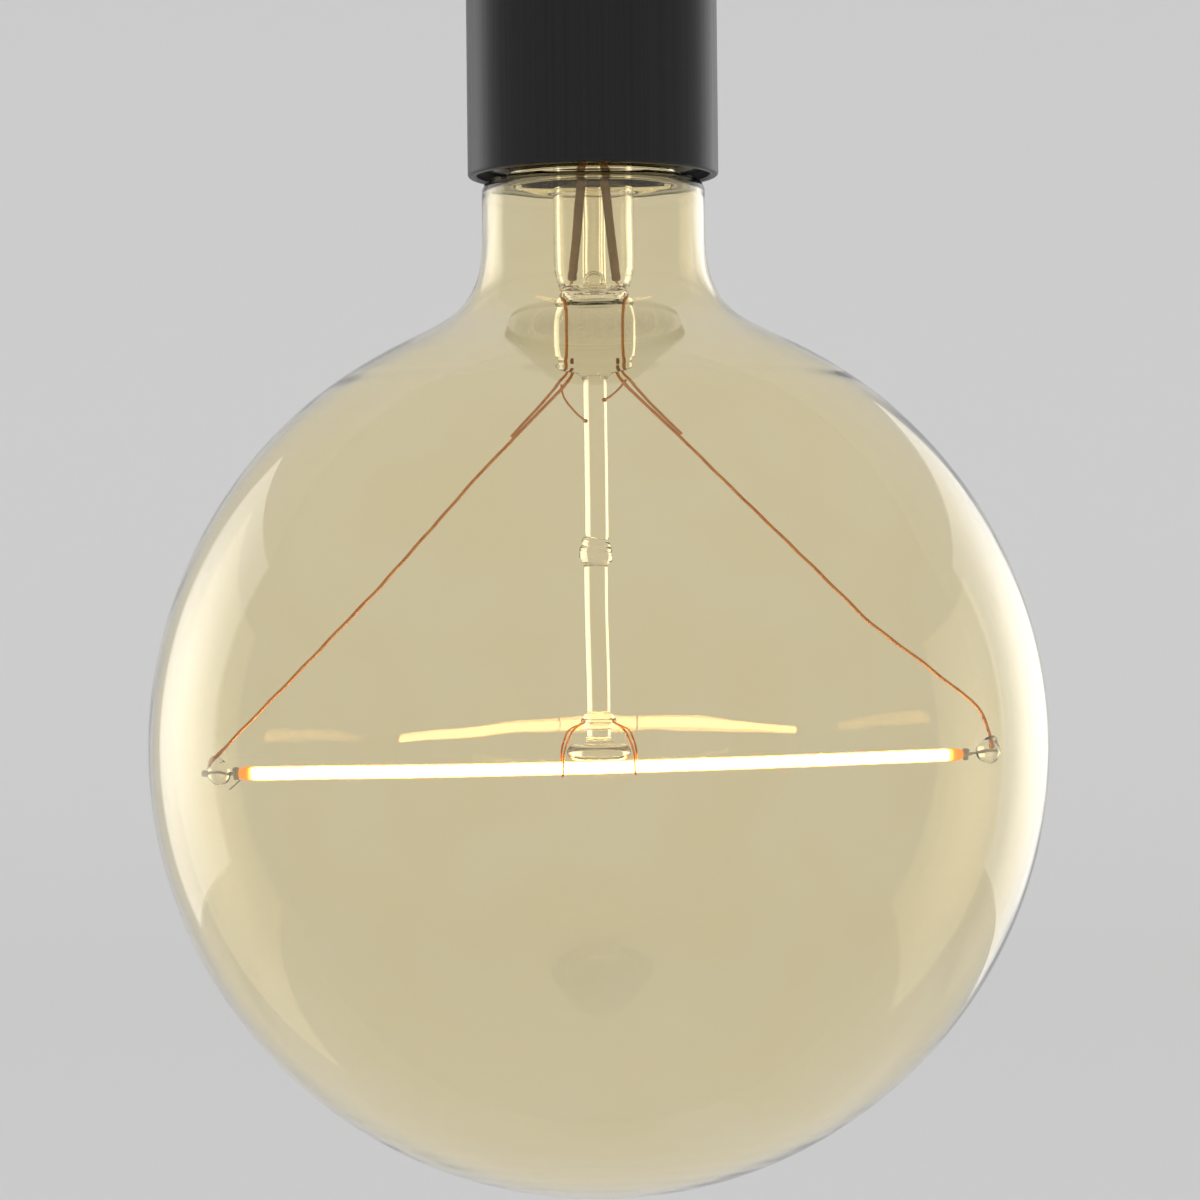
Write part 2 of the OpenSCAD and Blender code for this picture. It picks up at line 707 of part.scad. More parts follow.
// Anchors are hairpins: out of the collar, down past the button, and round under the filament
function bow_slope(side) = (fil_end(side)[2] - bow_z) / (fil_len / 2);
function hook_r() = (coat_d + fine_d + seat_gap) / 2;
function anchor_root(side, front) = 
    [side * rod_d * 0.53, front * rod_d * 0.25, collar_z + collar_h / 2];
function anchor_elbow(side, front) = 
    [side * anchor_x * 0.76, front * hook_r(), button_top + collar_rise * 0.82];
function anchor_path(side) =
    let (
        z = bow_z + bow_slope(side) * anchor_x,
        loop = [for (a = [180:22.5:360]) [side * anchor_x, hook_r() * cos(a), z + hook_r() * sin(a)]],
        front = soft_path([anchor_root(side, -1), anchor_elbow(side, -1),
                           [side * anchor_x * 0.98, -hook_r(), button_top - button_h * 0.4], loop[0]],
                          2 * fine_d),
        back = [for (i = [len(front) - 2:-1:0]) [front[i][0], -front[i][1], front[i][2]]]
    )
    concat(front, [for (i = [1:len(loop) - 1]) loop[i]], back);
module anchor(side) { in_bulb() wire(anchor_path(side), fine_d, [1, 0, 0]); }
module left_anchor() { color(copper_wire) anchor(-1); }
module right_anchor() { color(copper_wire) anchor(1); }

// The filament: two straight halves that meet over the anchors, a little below the line of its ends

// Draws children for each half, with +X running out along it from its inner end
bow_angle = atan(fil_sag / (fil_len / 2));
module each_half() {
    translate([0, 0, bow_z])
        rotate([0, -fil_tilt, 0])
            for (turn = [0, 180])
                rotate([0, 0, turn])
                    rotate([0, -bow_angle, 0])
                        children();
}
half_len = fil_len / 2;
channel_w = strip_w + 2 * seal_gap;
channel_t = strip_t + chip_t + 2 * seal_gap;

module filament_coating() {
    r = coat_d / 2;
    edge = coat_d / 4;
    color("orange")
        in_bulb()
            difference() {
                translate([0, 0, bow_z])
                    rotate([0, -fil_tilt, 0])
                        for (turn = [0, 180])
                            rotate([0, 0, turn])
                                difference() {
                                    rotate([0, 90 - bow_angle, 0])
                                        rotate_extrude()
                                            polygon(concat(
                                                [[0, -r], [r, -r]],
                                                arc(r - edge, half_len - edge, edge, 0, 90, 4),
                                                [[0, half_len]]
                                            ));
                                    translate([-2 * coat_d, -coat_d, -coat_d])
                                        cube(2 * coat_d);
                                }
                each_half()
                    translate([-strip_t / 2, -channel_w / 2, -channel_t / 2])
                        cube([half_len + coat_d, channel_w, channel_t]);
            }
}

module filament_strip() {
    color("ivory")
        in_bulb()
            each_half()
                translate([-seal_gap / 10, -strip_w / 2, -channel_t / 2 + seal_gap])
                    cube([half_len + seal_gap / 10, strip_w, strip_t]);
}

module led_chips() {
    count = floor((half_len - 2 * chip_l) / chip_pitch);
    color("gold")
        in_bulb()
            each_half()
                for (i = [0:count - 1])
                    translate([chip_pitch / 2 + i * chip_pitch, -chip_w / 2,
                               strip_t - channel_t / 2 + seal_gap])
                        cube([chip_l, chip_w, chip_t]);
}

// Metal tabs at the filament's ends, and the pins that they end in
module end_frame(side) {
    translate(fil_end(side))
        rotate([0, -side * fil_tilt, side < 0 ? 180 : 0])
            children();
}
module tab(side) {
    h = coat_d * 0.8;
    in_bulb()
        end_frame(side)
            translate([seal_gap, -strip_w / 2, -h / 2])
                cube([tab_len - seal_gap, strip_w, h]);
}
module left_tab() { color(nickel) tab(-1); }
module right_tab() { color(nickel) tab(1); }

function pin_len(side) = side < 0 ? bead_reach_left + bead_d / 2 + stub_len : bead_reach_right + bead_d / 4;
module pin(side) {
    in_bulb()
        end_frame(side)
            translate([tab_len, 0, 0])
                rotate([0, 90, 0])
                    cylinder(d = pin_d, h = pin_len(side));
}
module left_pin() { color(nickel) pin(-1); }
module right_pin() { color(nickel) pin(1); }

// Glass beads that hold each pin to its support wire
module bead(side) {
    path = support_path(side);
    last = path[len(path) - 1];
    before = path[len(path) - 2];
    in_bulb()
        difference() {
            translate(bead_at(side))
                rotate([0, 0, 90])
                    sphere(d = bead_d);
            end_frame(side)
                translate([tab_len, 0, 0])
                    rotate([0, 90, 0])
                        cylinder(d = pin_d + 2 * seal_gap,
                                 h = side < 0 ? bead_reach_left + bead_d
                                              : pin_len(1) + seal_gap);
            bar(last + unit(last - before) * seat_gap / 2, last + unit(before - last) * bead_d,
                support_d / 2 + seal_gap);
        }
}
module left_bead() { color(stem_glass) bead(-1); }
module right_bead() { color(stem_glass) bead(1); }

// The cap

module cap_shell() {
    skirt_r = skirt_d / 2;
    lip_z = skirt_h * 0.13;
    soft = shoulder_w * 0.4;
    end_z = thread_z + thread_h;
    rows = concat(
        [[0, skirt_r + cap_sheet, 0], [lip_z, skirt_r + cap_sheet, 0], [lip_z * 1.5, skirt_r, 0],
         [skirt_h, skirt_r, 0]],
        [for (i = [0:floor(thread_h / thread_pitch * thread_rows)])
            let (z = thread_z + i * thread_pitch / thread_rows)
            [z, thread_minor / 2, fade(z, thread_z, end_z)]],
        [[end_z + soft, thread_minor / 2 - soft / 2, 0],
         [cap_h - crown_h - soft, cap_top_r + soft, 0], [cap_h - crown_h, cap_top_r, 0]]
    );
    outer = [for (row = rows) [for (a = facet_angles) cap_face(row[1], row[2], row[0], a)]];
    color(nickel)
        in_cap()
            spun_sheet(
                [for (row = rows) row[0]], outer,
                [for (ring = outer) [for (r = ring) r - cap_sheet]]
            );
}

// Black glass between the cap's metal and the tip contact
module cap_insulator() {
    tip_r = tip_d / 2 + seat_gap;
    lip = cap_h - crown_h;
    rise = seat_gap / 2;
    plug_r = cap_top_r - cap_sheet - 1.5 * seat_gap;
    plug = shoulder_w * 0.7;
    top = cap_h - tip_h * 0.75;
    seat = cap_h - tip_h - seal_gap;
    color("black")
        in_cap()
            difference() {
                rotate_extrude()
                    polygon([
                        [0, lip - plug], [plug_r, lip - plug], [plug_r, lip + rise],
                        [cap_top_r - seat_gap, lip + 2 * rise],
                        [cap_top_r - shoulder_w / 2, cap_h - crown_h * 0.8],
                        [tip_r + shoulder_w * 0.6, top], [tip_r, top], [tip_r, seat], [0, seat]
                    ]);
                translate([0, 0, lip - plug - 1])
                    cylinder(d = wire_d + 2 * insert_gap, h = crown_h + plug);
            }
}

module tip_contact() {
    r = tip_d / 2;
    crown = tip_h * 0.45;
    color(nickel)
        in_cap()
            rotate_extrude()
                polygon([
                    [0, cap_h - tip_h], [r, cap_h - tip_h], [r, cap_h - crown],
                    [r * 0.85, cap_h - crown * 0.4], [r * 0.5, cap_h], [0, cap_h]
                ]);
}

// Cement that holds the glass throat in the cap's skirt
module basing_cement() {
    color("lightgray")
        in_cap()
            translate([0, 0, skirt_h * 0.08])
                difference() {
                    cylinder(d = skirt_d - 2 * cap_sheet - 3 * seat_gap, h = skirt_h * 0.87);
                    translate([0, 0, -1])
                        cylinder(d = throat_d + 2 * seal_gap, h = skirt_h + 2);
                }
}

// Wires from the driver to the cap
module live_wire() {
    foot_z = board_z + board_h + seal_gap;
    color("red")
        in_bulb()
            translate([0, 0, foot_z])
                cylinder(d = wire_d, h = cap_z + cap_h - tip_h - seat_gap - foot_z);
}
module neutral_wire() {
    x = board_w / 2 - 2 * wire_d;
    y = (board_t + wire_d + seat_gap) / 2;
    wall_x = thread_minor / 2 - cap_sheet - wire_d / 2 - 1.5 * seat_gap;
    color("white")
        in_bulb()
            wire(soft_path([
                [x, y, board_z + board_h * 0.4],
                [x, y, board_z + board_h * 0.13],
                [wall_x - wire_d, y, board_z + board_h * 0.12],
                [wall_x, y, board_z + board_h * 0.36]
            ], wire_d), wire_d);
}

// The driver, on a board that stands over the stem's flare
module driver_board() {
    color("darkgreen")
        in_bulb()
            translate([-board_w / 2, -board_t / 2, board_z])
                cube([board_w, board_t, board_h]);
}
board_front = -board_t / 2 - seal_gap;
board_back = board_t / 2 + seal_gap;
module smoothing_capacitor() {
    color("darkslateblue")
        in_bulb()
            translate([-board_w * 0.21, board_front - capacitor_d / 2,
                       board_z + board_h * 0.95 - capacitor_l])
                cylinder(d = capacitor_d, h = capacitor_l);
}
module inductor() {
    core_r = inductor_d * 0.36;
    flange = inductor_l * 0.14;
    color("saddlebrown")
        in_bulb()
            translate([board_w * 0.23, board_front - inductor_d / 2, board_z + board_h * 0.94 - inductor_l])
                rotate_extrude()
                    polygon([
                        [0, 0], [inductor_d / 2, 0], [inductor_d / 2, flange], [core_r, flange],
                        [core_r, inductor_l - flange], [inductor_d / 2, inductor_l - flange],
                        [inductor_d / 2, inductor_l], [0, inductor_l]
                    ]);
}
module bridge_rectifier() {
    color("dimgray")
        in_bulb()
            translate([-package_w * 1.2, board_back, board_z + board_h * 0.18])
                cube([package_w, rectifier_t, package_h]);
}
module driver_chip() {
    color("dimgray")
        in_bulb()
            translate([package_w * 0.1, board_back, board_z + board_h * 0.18])
                cube([package_w, chip_case_t, package_h]);
}
module fuse_resistor() {
    color("tan")
        in_bulb()
            translate([-resistor_l / 2, board_back + resistor_d / 2, board_z + board_h - resistor_d])
                rotate([0, 90, 0])
                    cylinder(d = resistor_d, h = resistor_l);
}

// The holder

module holder_sleeve() {
    r = sleeve_d / 2;
    in_r = r - sleeve_t;
    color(smoke_black)
        in_holder()
            difference() {
                rotate_extrude()
                    polygon(concat(
                        [[in_r, rim_round * 0.6], [in_r + rim_round * 0.6, 0]],
                        arc(r - rim_round, rim_round, rim_round, -90, 0, 6),
                        [[r, sleeve_h], [in_r, sleeve_h]]
                    ));
                for (s = [-1, 1])
                    bar([0, 0, sleeve_h - spigot_h / 2], [s * r * 1.2, 0, sleeve_h - spigot_h / 2],
                        grub_d / 2 + seat_gap);
            }
}

// The lid closes the sleeve; its spigot fits inside and its pillars carry the insert
module holder_lid() {
    r = sleeve_d / 2;
    spigot_r = r - sleeve_t - seat_gap;
    color(smoke_black)
        in_holder()
            difference() {
                union() {
                    rotate_extrude()
                        polygon(concat(
                            [[bush_neck_d / 2 + seat_gap, sleeve_h], [r, sleeve_h]],
                            arc(r - rim_round, sleeve_h + lid_t - rim_round, rim_round, 0, 90, 6),
                            [[bush_neck_d / 2 + seat_gap, sleeve_h + lid_t]]
                        ));
                    translate([0, 0, sleeve_h - spigot_h])
                        difference() {
                            cylinder(r = spigot_r, h = spigot_h + lid_t / 2);
                            translate([0, 0, -1])
                                cylinder(r = spigot_r - spigot_t, h = spigot_h + lid_t);
                        }
                    for (s = [-1, 1])
                        translate([0, s * pillar_y, deck_z])
                            cylinder(d = pillar_d, h = sleeve_h + lid_t / 2 - deck_z);
                }
                for (s = [-1, 1]) {
                    translate([0, s * pillar_y, deck_z - 1])
                        cylinder(d = screw_d + 2 * seat_gap, h = 1 + screw_bite * 1.3);
                    bar([s * (spigot_r - spigot_t - 1), 0, sleeve_h - spigot_h / 2],
                        [s * r * 1.2, 0, sleeve_h - spigot_h / 2], grub_d / 2 + seat_gap);
                }
            }
}

module sleeve_grubs() {
    r = sleeve_d / 2;
    color("black")
        in_holder()
            for (s = [-1, 1])
                bar([s * (r - sleeve_t - spigot_t), 0, sleeve_h - spigot_h / 2],
                    [s * (r - 1.5 * seat_gap), 0, sleeve_h - spigot_h / 2], grub_d / 2);
}

// The bush carries the threaded cord entry, and the ring nut holds it in the lid
bush_neck_h = lid_t + tag_t + nut_t + neck_tail;
module entry_bush() {
    color(smoke_black)
        difference() {
            union() {
                translate([0, 0, -bush_h])
                    rotate_extrude()
                        polygon(concat(
                            [[0, 0], [bush_d / 2, 0]],
                            arc(bush_d / 2 - rim_round, bush_h - rim_round, rim_round, 0, 90, 6),
                            [[0, bush_h]]
                        ));
                translate([0, 0, -bush_h - bush_neck_h])
                    cylinder(d = bush_neck_d, h = bush_neck_h + 1);
            }
            translate([0, 0, -bush_h - bush_neck_h - 1])
                cylinder(d = entry_d, h = bush_h + bush_neck_h + 2);
            bar([0, 0, -bush_h / 2], [0, bush_d, -bush_h / 2], grub_d / 2 + seat_gap);
        }
}
module bush_nut() {
    slot_w = nut_t * 0.6;
    color(nickel)
        translate([0, 0, -bush_h - lid_t - tag_t - nut_t - seal_gap])
            difference() {
                cylinder(d = nut_d, h = nut_t);
                translate([0, 0, -1])
                    cylinder(d = bush_neck_d + 2 * seat_gap, h = nut_t + 2);
                for (a = [45, 135])
                    rotate([0, 0, a])
                        translate([-nut_d / 2 - 1, -slot_w / 2, -1])
                            cube([nut_d + 2, slot_w, 1 + nut_t * 0.4]);
            }
}
module bush_grub() {
    color("black")
        bar([0, entry_d / 2 + 2 * seat_gap, -bush_h / 2],
            [0, bush_d / 2 - 2 * seat_gap, -bush_h / 2], grub_d / 2);
}

// The earth tag sits under the ring nut and carries its own screw
module earth_tag() {
    color(brass_colour)
        in_holder()
            difference() {
                translate([0, 0, sleeve_h - tag_t])
                    union() {
                        cylinder(d = nut_d, h = tag_t);
                        translate([0, -tag_w / 2, 0])
                            cube([tag_x, tag_w, tag_t]);
                        translate([tag_x - tag_t, -tag_w / 2, tag_t - tag_drop])
                            cube([tag_t, tag_w, tag_drop]);
                    }
                translate([0, 0, sleeve_h - tag_t - 1])
                    cylinder(d = bush_neck_d + 2 * seat_gap, h = tag_t + 2);
                bar([0, 0, tag_screw_z], [tag_x + 1, 0, tag_screw_z], screw_d / 2 + seat_gap);
            }
}
module earth_screw() {
    color(nickel)
        in_holder()
            union() {
                bar([tag_x - screw_d * 0.9, 0, tag_screw_z],
                    [tag_x + screw_head_h / 2, 0, tag_screw_z], screw_d / 2);
                bar([tag_x + seal_gap, 0, tag_screw_z],
                    [tag_x + screw_head_h, 0, tag_screw_z], screw_head_d / 2);
            }
}

// The black insert holds the socket's metal
module socket_insert() {
    bore_r = entry_bore / 2;
    chamfer = rim_round * 1.2;
    room = 2 * seat_gap;
    color(smoke_black)
        in_holder()
            difference() {
                rotate_extrude()
                    polygon([
                        [bore_r + chamfer, insert_recess], [insert_r, insert_recess],
                        [insert_r, deck_z - chamfer], [insert_r - chamfer, deck_z], [0, deck_z],
                        [0, floor_z], [cavity_d / 2, floor_z], [cavity_d / 2, shell_top + room],
                        [shell_seat_r, shell_top + room], [shell_seat_r, shell_z - room],
                        [bore_r, shell_z - room], [bore_r, insert_recess + chamfer]
                    ]);
                for (s = [-1, 1])
                    translate([0, s * pillar_y, floor_z - 1])
                        cylinder(d = screw_d + room, h = floor_t + 2);
                translate([terminal_reach, 0, floor_z - 1])
                    cylinder(d = rivet_d + room, h = floor_t + 2);
                translate([-strip_x - contact_t - seat_gap, -(contact_w + room) / 2,
                           shell_top - strip_lap - 3 * room])
                    cube([contact_t + room, contact_w + room, deck_z - shell_top + 4 * strip_lap]);
            }
}

module insert_screws() {
    color(nickel)
        in_holder()
            for (s = [-1, 1])
                translate([0, s * pillar_y, floor_z - screw_head_h]) {
                    cylinder(d = screw_head_d, h = screw_head_h - seal_gap);
                    translate([0, 0, screw_head_h / 2])
                        cylinder(d = screw_d, h = screw_head_h / 2 + floor_t + screw_bite);
                }
}

module thread_shell() {
    rows = concat(
        [[shell_z, 0]],
        [for (i = [1:floor(shell_h / thread_pitch * thread_rows)])
            let (z = shell_z + i * thread_pitch / thread_rows)
            [z, fade(z, shell_z, shell_top)]],
        [[shell_top, 0]]
    );
    inner = [for (row = rows)
        [for (a = facet_angles) socket_face(row[1], row[0] - socket_cap_z, a)]];
    color(brass_colour)
        in_holder()
            spun_sheet(
                [for (row = rows) row[0]],
                [for (ring = inner) [for (r = ring) r + cap_sheet]], inner
            );
}

// The centre contact: a fixed foot under the floor, riveted through to the live terminal, and the
// leaf that hinges from it
module contact_foot() {
    start_x = foot_x + contact_t / 2 + seat_gap;
    color(brass_colour)
        in_holder()
            union() {
                translate([start_x, -contact_w / 2, floor_z - contact_t])
                    cube([terminal_reach + rivet_d - start_x, contact_w, contact_t - seal_gap]);
                translate([terminal_reach, 0, floor_z - contact_t / 2])
                    cylinder(d = rivet_d, h = floor_t + contact_t);
                translate([terminal_reach - terminal_x / 2, -contact_w / 2, deck_z + seal_gap])
                    cube([terminal_x, contact_w, contact_t]);
            }
}
module centre_contact() {
    t = contact_t;
    free_x = foot_x - leaf_len;
    knuckle_d = t - seat_gap / 2;
    bend_x = tip_d / 4;
    color(brass_colour)
        in_holder()
            translate([0, contact_w / 2, 0])
                rotate([90, 0, 0])
                    linear_extrude(height = contact_w)
                        union() {
                            translate([foot_x, leaf_hinge_z + t / 2])
                                circle(d = knuckle_d);
                            polygon([
                                [foot_x, leaf_hinge_z + (t - knuckle_d) / 2],
                                [foot_x, leaf_hinge_z + (t + knuckle_d) / 2],
                                [foot_x - 2 * t, leaf_hinge_z + (t + knuckle_d) / 2],
                                [bend_x, leaf_z + t], [free_x + 2 * t, leaf_z + t],
                                [free_x + t / 4, leaf_z + 2 * t], [free_x, leaf_z + 1.5 * t],
                                [free_x + 1.7 * t, leaf_z], [bend_x - t / 4, leaf_z],
                                [foot_x - 2.4 * t, leaf_hinge_z + (t - knuckle_d) / 2]
                            ]);
                        }
}

module neutral_strip() {
    low = shell_top - strip_lap;
    high = deck_z + seal_gap;
    end_x = terminal_x / 2 - terminal_reach;
    color(brass_colour)
        in_holder()
            translate([0, contact_w / 2, 0])
                rotate([90, 0, 0])
                    linear_extrude(height = contact_w)
                        polygon([
                            [-strip_x, low], [-strip_x, high], [end_x, high],
                            [end_x, high + contact_t], [-strip_x - contact_t, high + contact_t],
                            [-strip_x - contact_t, low]
                        ]);
}

// Terminal blocks: the supply wire enters from above, and a side screw clamps it
terminal_z = deck_z + contact_t + 2 * seal_gap;
clamp_z = terminal_z + terminal_h * 0.6;
module terminal(side) {
    in_holder()
        difference() {
            translate([side * terminal_reach - terminal_x / 2, -terminal_y / 2, terminal_z])
                cube([terminal_x, terminal_y, terminal_h]);
            translate([side * terminal_reach, 0, terminal_z + terminal_h / 4])
                cylinder(d = wire_bore, h = terminal_h);
            bar([side * terminal_reach, 0, clamp_z],
                [side * (terminal_reach + terminal_x), 0, clamp_z], screw_d / 2 + seat_gap);
        }
}
module live_terminal() { color(brass_colour) terminal(1); }
module neutral_terminal() { color(brass_colour) terminal(-1); }
module terminal_screws() {
    face = terminal_reach + terminal_x / 2;
    stand = screw_head_h / 4;
    color(nickel)
        in_holder()
            for (s = [-1, 1]) {
                bar([s * (face - screw_d / 2), 0, clamp_z], [s * (face + 2 * stand), 0, clamp_z],
                    screw_d / 2);
                bar([s * (face + stand), 0, clamp_z], [s * (face + stand + screw_head_h), 0, clamp_z],
                    screw_head_d / 2);
            }
}

holder_sleeve();
holder_lid();
entry_bush();
bush_nut();
bush_grub();
sleeve_grubs();
earth_tag();
earth_screw();
socket_insert();
insert_screws();
thread_shell();
contact_foot();
centre_contact();
neutral_strip();
live_terminal();
neutral_terminal();
terminal_screws();
tip_contact();
cap_shell();
cap_insulator();
basing_cement();
live_wire();
neutral_wire();
driver_board();
smoothing_capacitor();
inductor();
bridge_rectifier();
driver_chip();
fuse_resistor();
globe();
stem_tube();
exhaust_tube();
stem_press();
upper_rod();
rod_weld();
lower_rod();
anchor_collar();
rod_button();
left_lead();
right_lead();
left_sleeving();
right_sleeving();
left_support();
right_support();
left_brace();
right_brace();
left_anchor();
right_anchor();
filament_coating();
filament_strip();
led_chips();
left_tab();
right_tab();
left_pin();
right_pin();
left_bead();
right_bead();
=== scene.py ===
"""Looks of the LED globe bulb in its slim lampholder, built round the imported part."""

import math

import bpy
from mathutils import Matrix, Vector, noise


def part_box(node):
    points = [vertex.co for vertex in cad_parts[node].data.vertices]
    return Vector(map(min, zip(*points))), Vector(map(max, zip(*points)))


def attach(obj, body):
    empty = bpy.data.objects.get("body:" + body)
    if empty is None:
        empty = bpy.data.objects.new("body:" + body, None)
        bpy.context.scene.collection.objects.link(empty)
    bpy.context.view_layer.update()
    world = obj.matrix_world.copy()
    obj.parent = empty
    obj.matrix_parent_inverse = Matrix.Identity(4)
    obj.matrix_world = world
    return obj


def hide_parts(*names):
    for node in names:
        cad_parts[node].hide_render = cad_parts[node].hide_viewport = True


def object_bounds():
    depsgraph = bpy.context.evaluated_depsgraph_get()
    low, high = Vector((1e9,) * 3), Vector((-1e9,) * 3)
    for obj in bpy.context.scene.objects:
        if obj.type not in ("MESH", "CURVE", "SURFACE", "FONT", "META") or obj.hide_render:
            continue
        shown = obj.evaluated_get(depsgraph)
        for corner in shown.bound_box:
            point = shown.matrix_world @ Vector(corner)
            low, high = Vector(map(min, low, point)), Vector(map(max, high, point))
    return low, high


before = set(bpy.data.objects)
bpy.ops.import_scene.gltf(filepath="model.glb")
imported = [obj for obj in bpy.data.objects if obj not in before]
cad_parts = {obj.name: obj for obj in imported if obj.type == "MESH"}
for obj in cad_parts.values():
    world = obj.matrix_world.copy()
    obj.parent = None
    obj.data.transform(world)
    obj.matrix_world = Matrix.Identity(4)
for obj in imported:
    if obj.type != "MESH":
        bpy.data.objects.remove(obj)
CAD_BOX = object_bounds()

MM = 0.001
TAU = 2 * math.pi
SIDES = ((-1, "left"), (1, "right"))

# Sizes in millimetres, as in the part's source. Heights are over the globe's centre, and CAP_RISE
# is over the neck's shoulder
GLOBE_R = 62.5
GLASS_T = 0.8
NECK_R = 15.6
NECK_RISE = 79.0
NECK_BLEND = 9.3
SHOULDER_R = 1.7
THROAT_R = 11.6
THROAT_TOP = 90.0
CAP_RISE = 4.0
THREAD_MAJOR = 26.4
THREAD_MINOR = 24.2
THREAD_PITCH = 3.629
THREAD_RUN = 1.2
THREAD_GAP = 0.25
CAP_SHEET = 0.3
COAT_R = 0.95
CHIP_PITCH = 2.4
FIL_HALF = 49.9
FIL_LEFT_Z = -3.36
FIL_RIGHT_Z = -1.76
FIL_MID_Z = -3.07

# The coating's ends, a little further out than in the solids, up to the crimped tabs
FIL_LEFT = -50.4
FIL_RIGHT = 50.9

# The globe's centre and the cap's lower edge in the part's frame, in millimetres
GLOBE_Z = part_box("globe")[0].z / MM + GLOBE_R
CAP_Z = GLOBE_Z + NECK_RISE + CAP_RISE


# Materials


def material(name, color, metallic=0.0, rough=0.5):
    """A plain material of one colour."""
    mat = bpy.data.materials.new(name)
    mat.use_nodes = True
    shader = shader_of(mat)
    shader.inputs["Base Color"].default_value = (*color, 1.0)
    shader.inputs["Metallic"].default_value = metallic
    shader.inputs["Roughness"].default_value = rough
    return mat


def shader_of(mat):
    """The material's main shader node."""
    return mat.node_tree.nodes["Principled BSDF"]


def texture(mat, scale, stretch=(1, 1, 1), detail=4.0):
    """Noise in object coordinates, with scale grains a metre and drawn out along an axis."""
    tree = mat.node_tree
    coord = tree.nodes.new("ShaderNodeTexCoord")
    mapping = tree.nodes.new("ShaderNodeMapping")
    mapping.inputs["Scale"].default_value = [scale * s for s in stretch]
    tex = tree.nodes.new("ShaderNodeTexNoise")
    tex.inputs["Scale"].default_value = 1.0
    tex.inputs["Detail"].default_value = detail
    tree.links.new(coord.outputs["Object"], mapping.inputs["Vector"])
    tree.links.new(mapping.outputs["Vector"], tex.inputs["Vector"])
    return tex.outputs["Fac"]


def ramp(mat, value, stops):
    """A colour ramp over a value; stops are (position, colour)."""
    node = mat.node_tree.nodes.new("ShaderNodeValToRGB")
    node.color_ramp.elements[0].position = stops[0][0]
    node.color_ramp.elements[0].color = (*stops[0][1], 1)
    node.color_ramp.elements[1].position = stops[-1][0]
    node.color_ramp.elements[1].color = (*stops[-1][1], 1)
    for position, color in stops[1:-1]:
        node.color_ramp.elements.new(position).color = (*color, 1)
    mat.node_tree.links.new(value, node.inputs["Fac"])
    return node.outputs["Color"]


def mottle(mat, value, color, shade):
    """Colours a surface with two tones after a noise's value."""
    low, high = 0.3, 0.7
    tone = ramp(mat, value, [(low, shade), (high, color)])
    mat.node_tree.links.new(tone, shader_of(mat).inputs["Base Color"])


def spread(mat, value, low, high):
    """Maps a 0 to 1 value onto low to high."""
    node = mat.node_tree.nodes.new("ShaderNodeMapRange")
    node.inputs["To Min"].default_value = low
    node.inputs["To Max"].default_value = high
    mat.node_tree.links.new(value, node.inputs["Value"])
    return node.outputs["Result"]


def bump(mat, value, strength, height):
    """Relief after a noise's value, with its height in metres."""
    node = mat.node_tree.nodes.new("ShaderNodeBump")
    node.inputs["Strength"].default_value = strength
    node.inputs["Distance"].default_value = height
    mat.node_tree.links.new(value, node.inputs["Height"])
    mat.node_tree.links.new(node.outputs["Normal"], shader_of(mat).inputs["Normal"])


def worn(name, color, shade, metallic, rough, scale, stretch=(1, 1, 1), relief=0.15,
         height=2e-5):
    """A surface whose tone, gloss and relief vary a little. rough is its range of roughness."""
    mat = material(name, color, metallic, sum(rough) / 2)
    tex = texture(mat, scale, stretch)
    mottle(mat, tex, color, shade)
    mat.node_tree.links.new(spread(mat, tex, *rough), shader_of(mat).inputs["Roughness"])
    bump(mat, tex, relief, height)
    return mat


def glass(name, color, shade, ior, scale, height):
    """Clear glass whose tint varies a little and whose surface is slightly wavy."""
    mat = material(name, color, rough=0.0)
    shader_of(mat).inputs["Transmission Weight"].default_value = 1.0
    shader_of(mat).inputs["IOR"].default_value = ior
    tex = texture(mat, scale, detail=1.0)
    mottle(mat, tex, color, shade)
    bump(mat, tex, 1.0, height)
    return mat


BLACK = worn("black_brushed", (0.011, 0.011, 0.012), (0.005, 0.005, 0.006), 0.0, (0.22, 0.5),
             3600, stretch=(1, 1, 0.003), relief=0.8, height=1.6e-5)
shader_of(BLACK).inputs["Specular IOR Level"].default_value = 0.34
NICKEL = worn("nickel", (0.66, 0.64, 0.6), (0.57, 0.55, 0.51), 1.0, (0.2, 0.34), 450, relief=0.05)
STEEL_BLACK = worn("black_steel", (0.045, 0.045, 0.05), (0.03, 0.03, 0.03), 0.6, (0.35, 0.5), 900)
BRASS = worn("brass", (0.72, 0.52, 0.22), (0.56, 0.38, 0.14), 1.0, (0.24, 0.4), 600)
TIP = worn("tinned_tip", (0.62, 0.6, 0.56), (0.42, 0.4, 0.36), 1.0, (0.3, 0.5), 800)
CERAMIC = worn("black_ceramic", (0.02, 0.02, 0.022), (0.03, 0.028, 0.027), 0.0, (0.14, 0.3), 250)
BLACK_GLASS = worn("black_glass", (0.012, 0.012, 0.015), (0.02, 0.02, 0.024), 0.0, (0.08, 0.2),
                   400)
CEMENT = worn("cement", (0.62, 0.6, 0.54), (0.42, 0.4, 0.36), 0.0, (0.8, 0.95), 900, relief=0.6,
              height=1e-4)
RED = worn("red_insulation", (0.5, 0.03, 0.02), (0.4, 0.02, 0.015), 0.0, (0.4, 0.55), 900)
WHITE = worn("white_insulation", (0.75, 0.75, 0.73), (0.66, 0.66, 0.62), 0.0, (0.4, 0.55), 900)
BOARD = worn("board_green", (0.015, 0.13, 0.055), (0.01, 0.09, 0.035), 0.0, (0.25, 0.4), 500)
SHRINK = worn("capacitor_sleeve", (0.02, 0.03, 0.09), (0.012, 0.02, 0.06), 0.0, (0.25, 0.4), 500)
